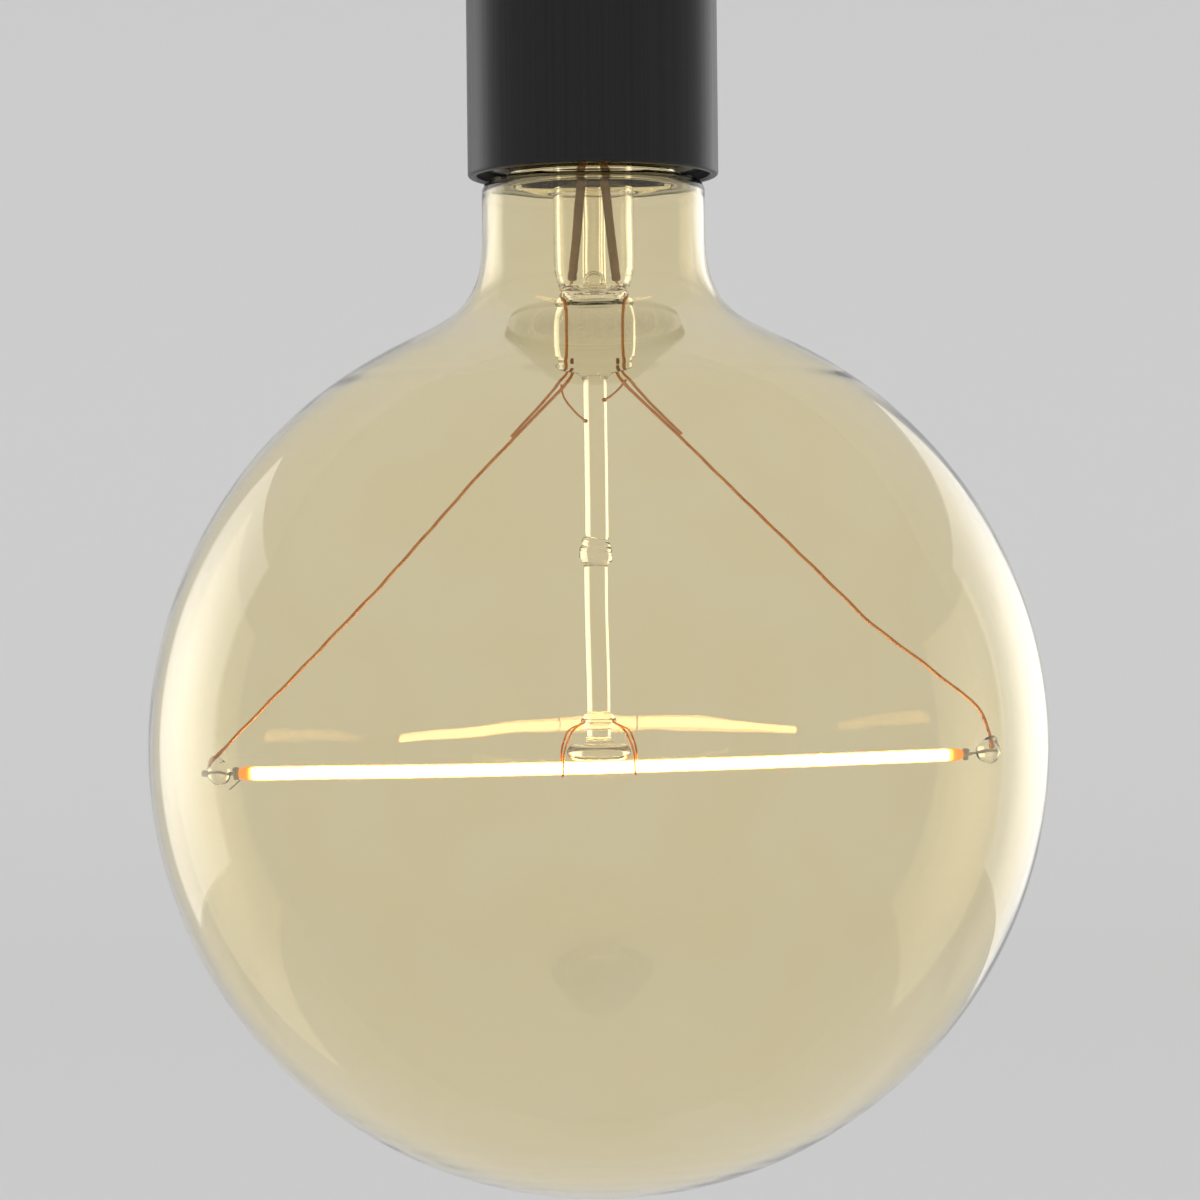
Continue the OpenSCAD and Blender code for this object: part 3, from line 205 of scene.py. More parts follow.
FERRITE = worn("ferrite", (0.06, 0.055, 0.055), (0.035, 0.03, 0.03), 0.0, (0.6, 0.8), 900)
PACKAGE = worn("component_black", (0.02, 0.02, 0.02), (0.03, 0.03, 0.03), 0.0, (0.5, 0.7), 900)
RESISTOR = worn("resistor_lacquer", (0.5, 0.4, 0.25), (0.42, 0.33, 0.2), 0.0, (0.4, 0.55), 700)
# Copper tone for the wires, partly painted light: it paints in the orange that the filament's glow
# gives them
COPPER_TONE_AND_GLOW = worn("copper_wire", (0.72, 0.36, 0.12), (0.6, 0.22, 0.06), 1.0, (0.2, 0.38), 500)
SLEEVING = worn("amber_sleeving", (0.62, 0.36, 0.08), (0.5, 0.27, 0.05), 0.0, (0.35, 0.5), 600)
STRIP = worn("ceramic_strip", (0.8, 0.78, 0.7), (0.72, 0.7, 0.6), 0.0, (0.4, 0.6), 600)
END_METAL = worn("end_metal", (0.62, 0.58, 0.52), (0.45, 0.41, 0.36), 1.0, (0.25, 0.45), 900)
CHIPS = worn("chips", (0.8, 0.75, 0.4), (0.7, 0.6, 0.3), 0.0, (0.1, 0.2), 900)
CLEAR = glass("globe_glass", (0.987, 0.925, 0.735), (0.982, 0.912, 0.7), 1.47, 70, 3.5e-5)
STEM = glass("stem_glass", (1.0, 0.987, 0.95), (0.997, 0.98, 0.935), 1.5, 220, 3e-5)


def math_node(mat, operation, *values):
    """A node that calculates with numbers and other nodes' outputs."""
    node = mat.node_tree.nodes.new("ShaderNodeMath")
    node.operation = operation
    for socket, value in zip(node.inputs, values):
        if hasattr(value, "links"):
            mat.node_tree.links.new(value, socket)
        else:
            socket.default_value = value
    return node.outputs["Value"]


# The coating's light: full strength, what its unlit ends still give, and how far in from each end,
# in millimetres, it starts and is full
GLOW = 44.0
UNLIT_HEAT = 0.018
LIT_FROM = 0.4
LIT_FULLY = 3.0
LIT_POWER = 3.0
# How far the light dips between two chips, about its mean
CHIP_MEAN = 0.8
CHIP_DIP = 0.2


def glowing():
    """The lit coating: white-hot over the chips, amber along its edges and at its unlit ends."""
    mat = material("lit_phosphor", (1.0, 0.62, 0.2))
    tree = mat.node_tree
    coord = tree.nodes.new("ShaderNodeTexCoord")
    facing = tree.nodes.new("ShaderNodeSeparateXYZ")
    tree.links.new(coord.outputs["Normal"], facing.inputs["Vector"])
    place = tree.nodes.new("ShaderNodeSeparateXYZ")
    tree.links.new(coord.outputs["Object"], place.inputs["Vector"])
    side = math_node(mat, "ABSOLUTE", facing.outputs["Y"])
    along = place.outputs["X"]

    middle = (FIL_LEFT + FIL_RIGHT) / 2 * MM
    half = (FIL_RIGHT - FIL_LEFT) / 2
    reach = math_node(mat, "ABSOLUTE", math_node(mat, "SUBTRACT", along, middle))
    lit = tree.nodes.new("ShaderNodeMapRange")
    lit.interpolation_type = "SMOOTHSTEP"
    lit.inputs["From Min"].default_value = (half - LIT_FROM) * MM
    lit.inputs["From Max"].default_value = (half - LIT_FULLY) * MM
    tree.links.new(reach, lit.inputs["Value"])
    lit = math_node(mat, "POWER", lit.outputs["Result"], LIT_POWER)

    turn = math_node(mat, "MULTIPLY", along, TAU / (CHIP_PITCH * MM))
    chips = math_node(mat, "COSINE", turn)
    chips = math_node(mat, "MULTIPLY_ADD", chips, CHIP_DIP, CHIP_MEAN)
    face = ramp(mat, side, [(0.2, (0.07,) * 3), (0.45, (0.15,) * 3), (0.7, (1,) * 3)])
    heat = math_node(mat, "MULTIPLY", math_node(mat, "MULTIPLY", face, lit), chips)
    heat = math_node(mat, "ADD", heat, UNLIT_HEAT)
    color = ramp(mat, heat, [(0.03, (1.0, 0.25, 0.015)), (0.2, (1.0, 0.46, 0.09)),
                             (0.6, (1.0, 0.66, 0.27))])
    strength = math_node(mat, "MULTIPLY", heat, GLOW)
    tree.links.new(color, shader_of(mat).inputs["Emission Color"])
    tree.links.new(strength, shader_of(mat).inputs["Emission Strength"])
    return mat


PHOSPHOR = glowing()


# Mesh helpers. Points are in millimetres, and heights are about the globe's centre where shift
# is GLOBE_Z


def piece(name, verts, faces, mat, slot, nodes, body="bulb", shift=GLOBE_Z):
    """A smooth mesh object that rides on a body and stands for CAD nodes."""
    mesh = bpy.data.meshes.new(name)
    mesh.from_pydata([(x * MM, y * MM, (z + shift) * MM) for x, y, z in verts], [], faces)
    mesh.materials.append(mat)
    mesh.polygons.foreach_set("use_smooth", [True] * len(mesh.polygons))
    mesh.update()
    obj = bpy.data.objects.new(name, mesh)
    bpy.context.scene.collection.objects.link(obj)
    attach(obj, body)
    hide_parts(*nodes)


def join(*parts):
    """Joins (verts, faces) pairs into one."""
    verts, faces = [], []
    for part_verts, part_faces in parts:
        base = len(verts)
        verts += part_verts
        faces += [[i + base for i in face] for face in part_faces]
    return verts, faces


def smooth_step(t):
    """Eases from 0 to 1 as t does, and stays there outside."""
    t = min(1.0, max(0.0, t))
    return t * t * (3 - 2 * t)


def outward(verts, faces):
    """Turns a closed surface's faces so that they face out."""
    volume = 0.0
    for face in faces:
        a = Vector(verts[face[0]])
        for i in range(1, len(face) - 1):
            volume += a.dot(Vector(verts[face[i]]).cross(Vector(verts[face[i + 1]])))
    if volume < 0:
        faces = [face[::-1] for face in faces]
    return verts, faces


def rings(loops, closed=False):
    """A surface through rings of equal length, its ends capped unless it closes on itself."""
    size, count = len(loops[0]), len(loops)
    verts = [p for loop in loops for p in loop]
    faces = []
    for i in range(count if closed else count - 1):
        a, b = i * size, (i + 1) % count * size
        for k in range(size):
            m = (k + 1) % size
            faces.append([a + k, a + m, b + m, b + k])
    if not closed:
        faces.append(list(range(size - 1, -1, -1)))
        faces.append([(count - 1) * size + k for k in range(size)])
    return outward(verts, faces)


def lathe(profile, segments, closed=True):
    """Spins a profile of (r, z) points about Z."""
    loops = [
        [(r * math.cos(TAU * k / segments), r * math.sin(TAU * k / segments), z)
         for k in range(segments)]
        for r, z in profile
    ]
    return rings(loops, closed)


def arc(cx, cz, r, start, end, steps):
    """Points along an arc, from one angle in degrees to another."""
    angles = [math.radians(start + (end - start) * i / steps) for i in range(steps + 1)]
    return [(cx + r * math.cos(a), cz + r * math.sin(a)) for a in angles]


def curve_points(points, steps):
    """A smooth line through the points."""
    pts = [Vector(p) for p in points]
    line = []
    for i in range(len(pts) - 1):
        p0 = pts[i - 1] if i else pts[0] * 2 - pts[1]
        p3 = pts[i + 2] if i + 2 < len(pts) else pts[-1] * 2 - pts[-2]
        p1, p2 = pts[i], pts[i + 1]
        for s in range(steps):
            t = s / steps
            line.append(0.5 * (2 * p1 + (p2 - p0) * t + (2 * p0 - 5 * p1 + 4 * p2 - p3) * t * t
                               + (3 * p1 - 3 * p2 + p3 - p0) * t * t * t))
    line.append(pts[-1])
    return line


def soft_path(points, reach, steps):
    """Straight runs whose corners are rounded over a length."""
    pts = [Vector(p) for p in points]
    out = [pts[0]]
    for p, q, r in zip(pts, pts[1:], pts[2:]):
        a = q + (p - q).normalized() * min(reach, (p - q).length / 2)
        b = q + (r - q).normalized() * min(reach, (r - q).length / 2)
        for i in range(steps + 1):
            t = i / steps
            out.append(a * (1 - t) ** 2 + q * 2 * t * (1 - t) + b * t * t)
    return out + [pts[-1]]


def sweep(path, radius, sides):
    """A tube with softened ends along a path; radius is one number, or one for each point."""
    pts = [Vector(p) for p in path]
    radii = list(radius) if hasattr(radius, "__len__") else [radius] * len(pts)
    inset, narrow = 0.5, 0.6
    first = pts[0] - (pts[0] - pts[1]).normalized() * radii[0] * inset
    last = pts[-1] - (pts[-1] - pts[-2]).normalized() * radii[-1] * inset
    pts = [pts[0], first] + pts[1:-1] + [last, pts[-1]]
    radii = [radii[0] * narrow] + radii + [radii[-1] * narrow]
    tangents = [(after - before).normalized()
                for before, after in zip([pts[0]] + pts[:-1], pts[1:] + [pts[-1]])]
    side = tangents[0].orthogonal().normalized()
    loops = []
    for p, t, r in zip(pts, tangents, radii):
        side = (side - t * side.dot(t)).normalized()
        up = t.cross(side)
        loops.append([
            tuple(p + (side * math.cos(TAU * k / sides) + up * math.sin(TAU * k / sides)) * r)
            for k in range(sides)
        ])
    return rings(loops)


# The globe

GLOBE_SEGMENTS = 208
PROFILE_STEP = 0.9
# The profile starts just beside the pole, so that its first ring is small and not a point
POLE_ANGLE = -89.6
# The bends from globe to neck are eased between two heights, in so many rounds. That sets in
# over EASE_IN and ends over EASE_OUT
EASE_LOW, EASE_HIGH = 48, 76
EASE_IN, EASE_OUT = 5, 3
EASE_ROUNDS = 30


def envelope(inset):
    """The profile from the pole up to the throat's end, set in from the outside."""
    blend_x = NECK_R + NECK_BLEND
    blend_z = math.sqrt((GLOBE_R + NECK_BLEND) ** 2 - blend_x ** 2)
    touch = math.degrees(math.atan2(blend_z, blend_x))
    return (
        arc(0, 0, GLOBE_R - inset, POLE_ANGLE, touch, 150)
        + arc(blend_x, blend_z, NECK_BLEND + inset, 180 + touch, 180, 24)
        + arc(NECK_R - SHOULDER_R, NECK_RISE - SHOULDER_R, SHOULDER_R - inset, 0, 90, 10)
        + [(THROAT_R - inset, NECK_RISE - inset + 0.01), (THROAT_R - inset, THROAT_TOP)]
    )


def relaxed(points):
    """Spaces a profile evenly and eases its bends."""
    spaced, need = [Vector(points[0])], PROFILE_STEP
    for p, q in zip(points, points[1:]):
        p, q = Vector(p), Vector(q)
        length = (q - p).length
        at = need
        while at < length:
            spaced.append(p + (q - p) * (at / length))
            at += PROFILE_STEP
        need = at - length
    spaced.append(Vector(points[-1]))
    weight = [smooth_step((p.y - EASE_LOW) / EASE_IN) * smooth_step((EASE_HIGH - p.y) / EASE_OUT)
              / 2 for p in spaced]
    for _ in range(EASE_ROUNDS):
        spaced = ([spaced[0]]
                  + [q + ((p + r) / 2 - q) * w
                     for p, q, r, w in zip(spaced, spaced[1:], spaced[2:], weight[1:])]
                  + [spaced[-1]])
    return [(p.x, p.y) for p in spaced]


# How each skin wavers, in millimetres: the noise's place, its slow swell, and its ripple in the
# neck. The noise's grain is SWELL_SIZE and RIPPLE_SIZE across
OUTER_SKIN = (Vector((0.4, 0.9, 0.2)), 0.03, 0.02)
INNER_SKIN = (Vector((7.7, 3.1, 5.3)), 0.06, 0.07)
SWELL_SIZE, RIPPLE_SIZE = 24, 5
# The ripple sets in over this range of heights, and ends under the neck's shoulder
RIPPLE_FROM, RIPPLE_RISE = 50, 20
SHOULDER_CLEAR, SHOULDER_FADE = 1.5, 3
# No skin wavers from the shoulder up, where the swell has ended over this height
SWELL_FADE = 2
# Where the ripple has set in by this share, a skin wavers as a tube's and not as a sphere's
NECK_SHARE = 0.01


def globe():
    """Outer and inner skins of the blown glass, closed at the pole and over the throat's end.

    Each skin wavers into the glass, in the globe along its radius and in the neck sideways."""
    outer, inner = relaxed(envelope(0)), relaxed(envelope(GLASS_T))
    verts, faces = lathe(outer + inner[::-1], GLOBE_SEGMENTS, closed=False)
    edge = len(outer) * GLOBE_SEGMENTS
    for i, (x, y, z) in enumerate(verts):
        place, swell, ripple = OUTER_SKIN if i < edge else INNER_SKIN
        neck = (smooth_step((z - RIPPLE_FROM) / RIPPLE_RISE)
                * smooth_step((NECK_RISE - SHOULDER_CLEAR - z) / SHOULDER_FADE))
        under_throat = 1 - smooth_step((z - NECK_RISE + SWELL_FADE) / SWELL_FADE)
        p = Vector((x, y, z))
        slow = noise.noise(p / SWELL_SIZE + place)
        fine = noise.noise(p / RIPPLE_SIZE + place)
        shift = (swell * (1 + slow) / 2 + ripple * neck * (1 + fine) / 2) * under_throat
        if i >= edge:
            shift = -shift
        scale = 1 - shift / (GLOBE_R if neck < NECK_SHARE else math.hypot(x, y))
        verts[i] = (x * scale, y * scale, z if neck > 0 else z * scale)
    piece("glass_globe", verts, faces, CLEAR, "globe_glass", ["globe"])


# The stem: flare, tube, press, rod, weld, collar and button, fused into one piece of glass

STEM_SEGMENTS = 96
STEM_WALL = 0.8
FLARE_X, FLARE_Z, FLARE_R = 10.6, 85.0, 5.0
WELD_Z = 27.0
# The weld's loops tip over by this slope, over a height about TIPPED_Z
WELD_SLOPE, TIPPED_Z, TIPPED_REACH = 0.3, 27.8, 3.2
# The rod and press waver, and the weld more and finer, over a height about it. The noise has so
# many grains a millimetre
WAVER, WELD_WAVER, WELD_REACH = 0.02, 0.05, 2
WAVER_GRAIN, WELD_GRAIN = 0.35, 1.1
# Under the weld the rod stands this far aside, down to where it comes back to the collar
LEAN, LEAN_FROM, LEAN_RUN = -0.18, 28.5, 3
COLLAR_CLEAR, COLLAR_RUN = 6, 14
# Heights of the rod's lowest loop and of the flare's foot, and the steps between loops: close
# where the shape changes, at press, weld and collar
ROD_FOOT, FLARE_FOOT = 1.3, 84.2
CLOSE_STEP, WIDE_STEP = 0.14, 0.8
BUSY = ((50, 67), (24, 30), (0, 5.2))

# Half width, half depth and squareness of the stem's outside, by height
STEM_ROWS = [
    (85.0, 5.6, 5.6, 2.0), (66.4, 5.6, 5.6, 2.0), (65.0, 5.4, 5.4, 2.0), (63.4, 4.95, 4.95, 2.0),
    (62.3, 4.8, 4.6, 2.1), (61.7, 5.0, 3.9, 2.3), (61.2, 5.45, 3.1, 2.6), (60.7, 5.55, 2.8, 2.9),
    (60.1, 5.3, 2.5, 3.2), (59.4, 5.5, 2.35, 3.4), (58.4, 5.75, 2.3, 3.6), (56.0, 5.75, 2.25, 3.6),
    (54.5, 5.6, 2.3, 3.4), (53.6, 5.2, 2.3, 3.2), (52.9, 4.5, 2.3, 2.9), (52.3, 3.5, 2.2, 2.5),
    (51.8, 2.4, 1.95, 2.1), (51.3, 1.85, 1.8, 2.0), (50.6, 1.675, 1.675, 2.0),
    (29.3, 1.675, 1.675, 2.0), (28.9, 1.58, 1.6, 2.0), (28.4, 2.0, 1.95, 2.0),
    (27.9, 2.15, 2.1, 2.0), (27.5, 2.02, 2.0, 2.0), (26.9, 2.35, 2.3, 2.0), (26.2, 2.33, 2.28, 2.0),
    (25.5, 2.0, 1.95, 2.0), (25.0, 1.7, 1.7, 2.0), (4.7, 1.675, 1.675, 2.0),
    (4.1, 2.2, 2.2, 2.0), (3.5, 2.52, 2.52, 2.0), (2.9, 2.3, 2.3, 2.0), (2.3, 1.72, 1.72, 2.0),
    (1.2, 1.68, 1.68, 2.0),
]


def stem_row(z):
    """The stem's half width, half depth and squareness at a height."""
    for (z0, *a), (z1, *b) in zip(STEM_ROWS, STEM_ROWS[1:]):
        if z1 <= z <= z0:
            t = smooth_step((z0 - z) / (z0 - z1))
            return [p + (q - p) * t for p, q in zip(a, b)]
    raise ValueError(f"no stem at {z}")


def section(z, a, b, power=2.0, x=0.0):
    """A loop round the axis at a height. Near the weld the loops tip over to one side."""
    tip = WELD_SLOPE * smooth_step(1 - abs(z - TIPPED_Z) / TIPPED_REACH)
    loop = []
    for k in range(STEM_SEGMENTS):
        c, s = math.cos(TAU * k / STEM_SEGMENTS), math.sin(TAU * k / STEM_SEGMENTS)
        u = a * math.copysign(abs(c) ** (2 / power), c)
        loop.append((u + x, b * math.copysign(abs(s) ** (2 / power), s), z - tip * u))
    return loop


def rod_and_press():
    """Loops up the outside, from the rod's foot to the flare."""
    loops = []
    z = ROD_FOOT
    while z < FLARE_FOOT:
        a, b, power = stem_row(z)
        more = WELD_WAVER * smooth_step(1 - abs(z - WELD_Z) / WELD_REACH)
        grain = WAVER_GRAIN if more == 0 else WELD_GRAIN
        waver = (WAVER + more) * noise.noise(Vector((0.3, 0.7, z * grain)))
        lean = (LEAN * smooth_step((LEAN_FROM - z) / LEAN_RUN)
                * smooth_step((z - COLLAR_CLEAR) / COLLAR_RUN))
        loops.append(section(z, a + waver, b + waver, power, lean))
        z += CLOSE_STEP if any(low < z < high for low, high in BUSY) else WIDE_STEP
    return loops


def stem():
    """Button, rod, collar, weld, press, tube and flare outside, then the cavity to its floor."""
    button = ([(0.5, -2.03), (1.6, -2.02)] + arc(3.3, -0.85, 1.15, -90, 88, 18)
              + [(2.2, 0.42), (1.75, 0.75)])
    flare = arc(FLARE_X, FLARE_Z, FLARE_R, 180, 90, 14) + [(11.58, 90.02), (11.58, 90.8)]
    cavity = (arc(FLARE_X, FLARE_Z, FLARE_R + STEM_WALL, 90, 180, 14)
              + [(4.8, 80.0), (4.8, 72.0), (4.8, 66.4), (4.6, 65.0), (4.2, 63.8), (3.75, 63.0),
                 (3.0, 62.55), (2.0, 62.35), (0.9, 62.3)])
    loops = ([section(z, r, r) for r, z in button] + rod_and_press()
             + [section(z, r, r) for r, z in flare + cavity])
    piece("glass_stem_and_rod", *rings(loops), STEM, "stem_glass",
          ["stem_tube", "stem_press", "upper_rod", "rod_weld", "lower_rod", "anchor_collar",
           "rod_button"])


TUBE_R, TUBE_BORE_R = 1.675, 0.95
TUBE_SEGMENTS = 48
NIPPLE_Z = 64.05


def exhaust():
    """The exhaust tube, sealed at its top, and its nipple in the stem's front wall."""
    # Close rings beside each corner keep the smooth shading of the long walls true
    outer = ([(1.55, 62.34), (1.64, 62.37), (TUBE_R, 62.46), (TUBE_R, 62.6), (TUBE_R, 74.0),
              (TUBE_R, 86.1)] + arc(0, 86.3, TUBE_R, 0, 86, 10))
    inner = (arc(0, 85.6, TUBE_BORE_R, 86, 0, 8)
             + [(TUBE_BORE_R, 85.4), (TUBE_BORE_R, 74.0), (TUBE_BORE_R, 62.9),
                (TUBE_BORE_R, 62.6), (0.98, 62.5), (1.1, 62.42)])
    tube = lathe(outer + inner, TUBE_SEGMENTS)
    # Spun upright and then laid along Y, with its mouth to the front
    verts, faces = lathe([
        (0.95, -4.9), (0.98, -5.05), (1.1, -5.17), (1.3, -5.2), (1.46, -5.12), (1.52, -4.95),
        (1.5, -4.7), (1.45, -4.4), (1.42, -4.1), (1.42, -1.6), (1.4, -1.44), (1.3, -1.4),
        (1.07, -1.4), (0.98, -1.44), (0.95, -1.6)], TUBE_SEGMENTS)
    nipple = [(x, z, NIPPLE_Z - y) for x, y, z in verts], faces
    piece("glass_exhaust_tube", *join(tube, nipple), STEM, "stem_glass", ["exhaust_tube"])


# The filament and what holds it


def fil_z(x):
    """Height of the filament's centre line: the line of its ends, with a shallow bow."""
    mean = (FIL_LEFT_Z + FIL_RIGHT_Z) / 2
    slope = (FIL_RIGHT_Z - FIL_LEFT_Z) / (2 * FIL_HALF)
    return FIL_MID_Z + slope * x + (mean - FIL_MID_Z) * (x / FIL_HALF) ** 2


COAT_STEPS, COAT_SIDES = 240, 32
# The coating's radius changes by this much, with so many grains a millimetre, and shrinks to a
# share of itself over its ends
COAT_RIPPLE, COAT_GRAIN = 0.02, 0.55
COAT_END, COAT_END_RUN = 0.8, 1.6


def filament():
    """The coating, slightly uneven and drawn in at its ends."""
    path, radii = [], []
    for i in range(COAT_STEPS + 1):
        x = FIL_LEFT + (FIL_RIGHT - FIL_LEFT) * i / COAT_STEPS
        path.append((x, 0, fil_z(x)))
        ripple = COAT_RIPPLE * noise.noise(Vector((x * COAT_GRAIN, 1.7, 0.4)))
        edge = min(x - FIL_LEFT, FIL_RIGHT - x)
        share = COAT_END + (1 - COAT_END) * smooth_step(edge / COAT_END_RUN)
        radii.append((COAT_R - COAT_RIPPLE + ripple) * share)
    piece("filament_glow", *sweep(path, radii, COAT_SIDES), PHOSPHOR, "phosphor",
          ["filament_coating"])


BEADS = {-1: Vector((-53.2, 0, -3.2)), 1: Vector((54.45, 0, -1.35))}
BEAD_R = 1.7
# A bead is this much wider than high, lumpy on two scales, and drawn out to a tip at its top
BEAD_STRETCH = 1.04
BEAD_LUMPS, BEAD_FINE_LUMPS = 0.14, 0.06
LUMP_GRAIN, FINE_LUMP_GRAIN = 1.4, 3.6
BEAD_TIP, BEAD_TIP_POWER = 0.75, 7
BEAD_SEGMENTS, BEAD_ROWS = 40, 28


def bead(side, name):
    """A lumpy glass bead, drawn up a little where the support wire runs in."""
    drawn = Vector((side * 0.35, 0, 1)).normalized()
    angles = [math.pi * i / BEAD_ROWS for i in range(1, BEAD_ROWS)]
    verts, faces = lathe([(math.sin(a), -math.cos(a)) for a in angles], BEAD_SEGMENTS,
                         closed=False)
    shaped = []
    for v in verts:
        v = Vector(v)
        toward = max(0.0, v.dot(drawn))
        lump = noise.noise(v * LUMP_GRAIN + Vector((side * 2.0, 0.4, 0.1)))
        fine = noise.noise(v * FINE_LUMP_GRAIN + Vector((0.7, side * 1.3, 2.1)))
        r = (BEAD_R + BEAD_LUMPS * lump + BEAD_FINE_LUMPS * fine
             + BEAD_TIP * toward ** BEAD_TIP_POWER)
        shaped.append(tuple(BEADS[side] + Vector((v.x * BEAD_STRETCH, v.y, v.z)) * r))
    piece(name + "_glass_bead", shaped, faces, STEM, "stem_glass", [name + "_bead"])


# A plate's corner radius as a share of half its least size. The sections through its thickness
# are given as (depth, share of the outline)
PLATE_CORNER = 0.8
PLATE_SECTIONS = ((-1, 0.82), (-0.6, 1), (0.6, 1), (1, 0.82))


def plate(center, size, turn, bend=0.0):
    """A small pressed plate with rounded edges, turned about Y and bowed by bend."""
    w, t, h = size[0] / 2, size[1] / 2, size[2] / 2
    corner = min(t, w, h) * PLATE_CORNER
    outline = []
    for cx, cz, start in ((w, h, 0), (-w, h, 90), (-w, -h, 180), (w, -h, 270)):
        outline += arc(cx - math.copysign(corner, cx), cz - math.copysign(corner, cz), corner,
                       start, start + 90, 3)
    turned = Matrix.Rotation(turn, 3, "Y")
    loops = []
    for depth, shrink in PLATE_SECTIONS:
        loops.append([
            tuple(center + turned @ Vector((x * shrink, depth * t + bend * (z / h) ** 2,
                                            z * shrink)))
            for x, z in outline
        ])
    return rings(loops)


# Width, depth and height of the crimped tab and of the lip in front of it, and how far out from
# the coating's end they stand
CRIMP_SIZE, CRIMP_OUT = (0.75, 0.42, 1.7), 0.32
LIP_SIZE, LIP_OUT = (0.3, 0.2, 1.3), 0.62
# The tab's bow, the lip's shift to the front and up, and its own turn
CRIMP_BOW = 0.05
LIP_SHIFT = Vector((0, -0.26, 0.1))
LIP_TURN = 0.12
PIN_R = 0.24
# The pin starts in the coating, leaves the tab straight, bends a little on its way to the bead's
# centre and ends past that
PIN_IN, PIN_OUT, PIN_BEND, PIN_PAST = 0.5, 0.75, 0.4, 0.9
# The pin is thinner inside the bead, which it enters over a short run at this x
PIN_THINNER, GLASS_FROM, GLASS_RUN = 0.09, 51.9, 0.5
# The left pin comes out of its bead as a thick stub
STUB_THICKER, STUB_FROM, STUB_RUN = 0.29, -54.35, 0.4
STUB = [(-54.6, 0, -3.28), (-54.9, 0, -3.29), (-55.77, 0, -3.27)]
# The left end of the filament's strip sticks out below the bead
CUT_END = [(-50.1, -0.3, -4.15), (-50.7, -0.34, -4.75), (-51.7, -0.36, -5.6)]
CUT_END_R = 0.11


def ends():
    """Tabs, pins and the glass beads that grip them."""
    tilt = -math.atan((FIL_RIGHT_Z - FIL_LEFT_Z) / (2 * FIL_HALF))
    for side, name in SIDES:
        bead(side, name)
        x = FIL_LEFT if side < 0 else FIL_RIGHT
        end = Vector((x, 0, fil_z(x)))
        out = Vector((side, 0, 0))
        center = BEADS[side]
        route = [end - out * PIN_IN, end + out * PIN_OUT, (end + center) / 2 + out * PIN_BEND,
                 center]
        pin = curve_points(route + (STUB if side < 0 else [center + out * PIN_PAST]), 6)
        radii = [PIN_R - PIN_THINNER * smooth_step((side * q.x - GLASS_FROM) / GLASS_RUN)
                 + STUB_THICKER * smooth_step((STUB_FROM - q.x) / STUB_RUN) for q in pin]
        piece(name + "_pin_wire", *sweep(pin, radii, 20), END_METAL, "end_metal", [name + "_pin"])
        crimp = plate(end + out * CRIMP_OUT, CRIMP_SIZE, tilt, CRIMP_BOW)
        lip = plate(end + out * LIP_OUT + LIP_SHIFT, LIP_SIZE, tilt + LIP_TURN * side)
        parts = [crimp, lip]
        if side < 0:
            parts.append(sweep(curve_points(CUT_END, 6), CUT_END_R, 12))
        piece(name + "_crimped_tab", *join(*parts), END_METAL, "end_metal", [name + "_tab"])


# The wires. Their copper tone is partly painted light: the filament's orange glow on them


def wire(node, path, radius, sides=14):
    """A wire that stands for the node it is named after. Its copper tone partly paints in the
    filament's orange light.
    """
    piece(node + "_wire", *sweep(path, radius, sides), COPPER_TONE_AND_GLOW, "copper_wire", [node])


SUPPORT_R = 0.225
LEAD_R = 0.2
BRACE_R = 0.15
ANCHOR_R = 0.15
SLEEVING_R = 0.62
# How much wider a support is where it is hammered, and over what height
HAMMERED, HAMMERED_REACH = 0.07, 1.6
# How much thicker a brace is where it enters the rod, which begins at this x
ROD_ENTRY, ENTRY_X, ENTRY_RUN = 0.13, 1.9, 0.8
# The leads run this far beside the supports
LEAD_OFF = 0.47

# Each support's corners, how softly they bend, and the height where it is hammered
SUPPORTS = {
    -1: ([(-3.05, 0, 53.9), (-3.05, 0, 51.4), (-16.5, 0.08, 37.9), (-31.0, 0.12, 21.9),
          (-43.0, 0.05, 9.6), (-52.1, 0, 0.5), (-52.9, 0, -0.25), (-53.9, 0, -1.3),
          (-54.35, 0, -2.3)], 1.4, -0.9),
    1: ([(3.05, 0, 53.9), (3.05, 0, 51.4), (12.3, 0.1, 42.6), (20.6, 0.12, 34.2),
         (29.5, 0.05, 25.4), (38.1, 0, 16.75), (45.6, 0, 11.0), (52.9, 0, 5.15),
         (53.6, 0, 4.05), (54.15, 0, 2.6), (54.9, 0, 0.55), (54.85, 0, -1.1)], 1.3, 3.2),
}


def supports():
    """The wires from the press out to the beads."""
    for side, name in SIDES:
        corners, reach, flat_z = SUPPORTS[side]
        line = soft_path(corners, reach, 8)
        radii = [SUPPORT_R + HAMMERED * smooth_step(1 - abs(q.z - flat_z) / HAMMERED_REACH)
                 for q in line]
        wire(name + "_support", line, radii, 16)


def leads():
    """The leads from the driver board down the stem and out beside the supports, and their
    sleeving."""
    for side, name in SIDES:
        corners = SUPPORTS[side][0]
        start = Vector(corners[1])
        aim = (Vector((corners[2][0], 0, corners[2][2])) - start).normalized()
        off = Vector((-aim.z * side, 0, aim.x * side)) * LEAD_OFF
        # The sleeving's ends, and the lead's end on the board
        low = Vector((side * 3.04, -0.91, 64.43))
        high = Vector((side * 1.3, -2.74, 80.98))
        run = (high - low).normalized()
        pad = Vector((side * 2.55, -0.72, 92.4))
        wire(name + "_lead",
             soft_path([pad, pad - Vector((0, 0, 2.2)), high + run, low - run,
                        (side * 3.8, 0, 62.7), (side * 3.8, 0, 52.0),
                        start + aim * 6 + off * 1.15, start + aim * 12 + off * 0.95], 0.8, 6),
             LEAD_R)
        tube = sweep([low, low + (high - low) * 0.3, low + (high - low) * 0.7, high],
                     SLEEVING_R, 20)
        piece(name + "_sleeving_tube", *tube, SLEEVING, "amber_sleeving", [name + "_sleeving"])


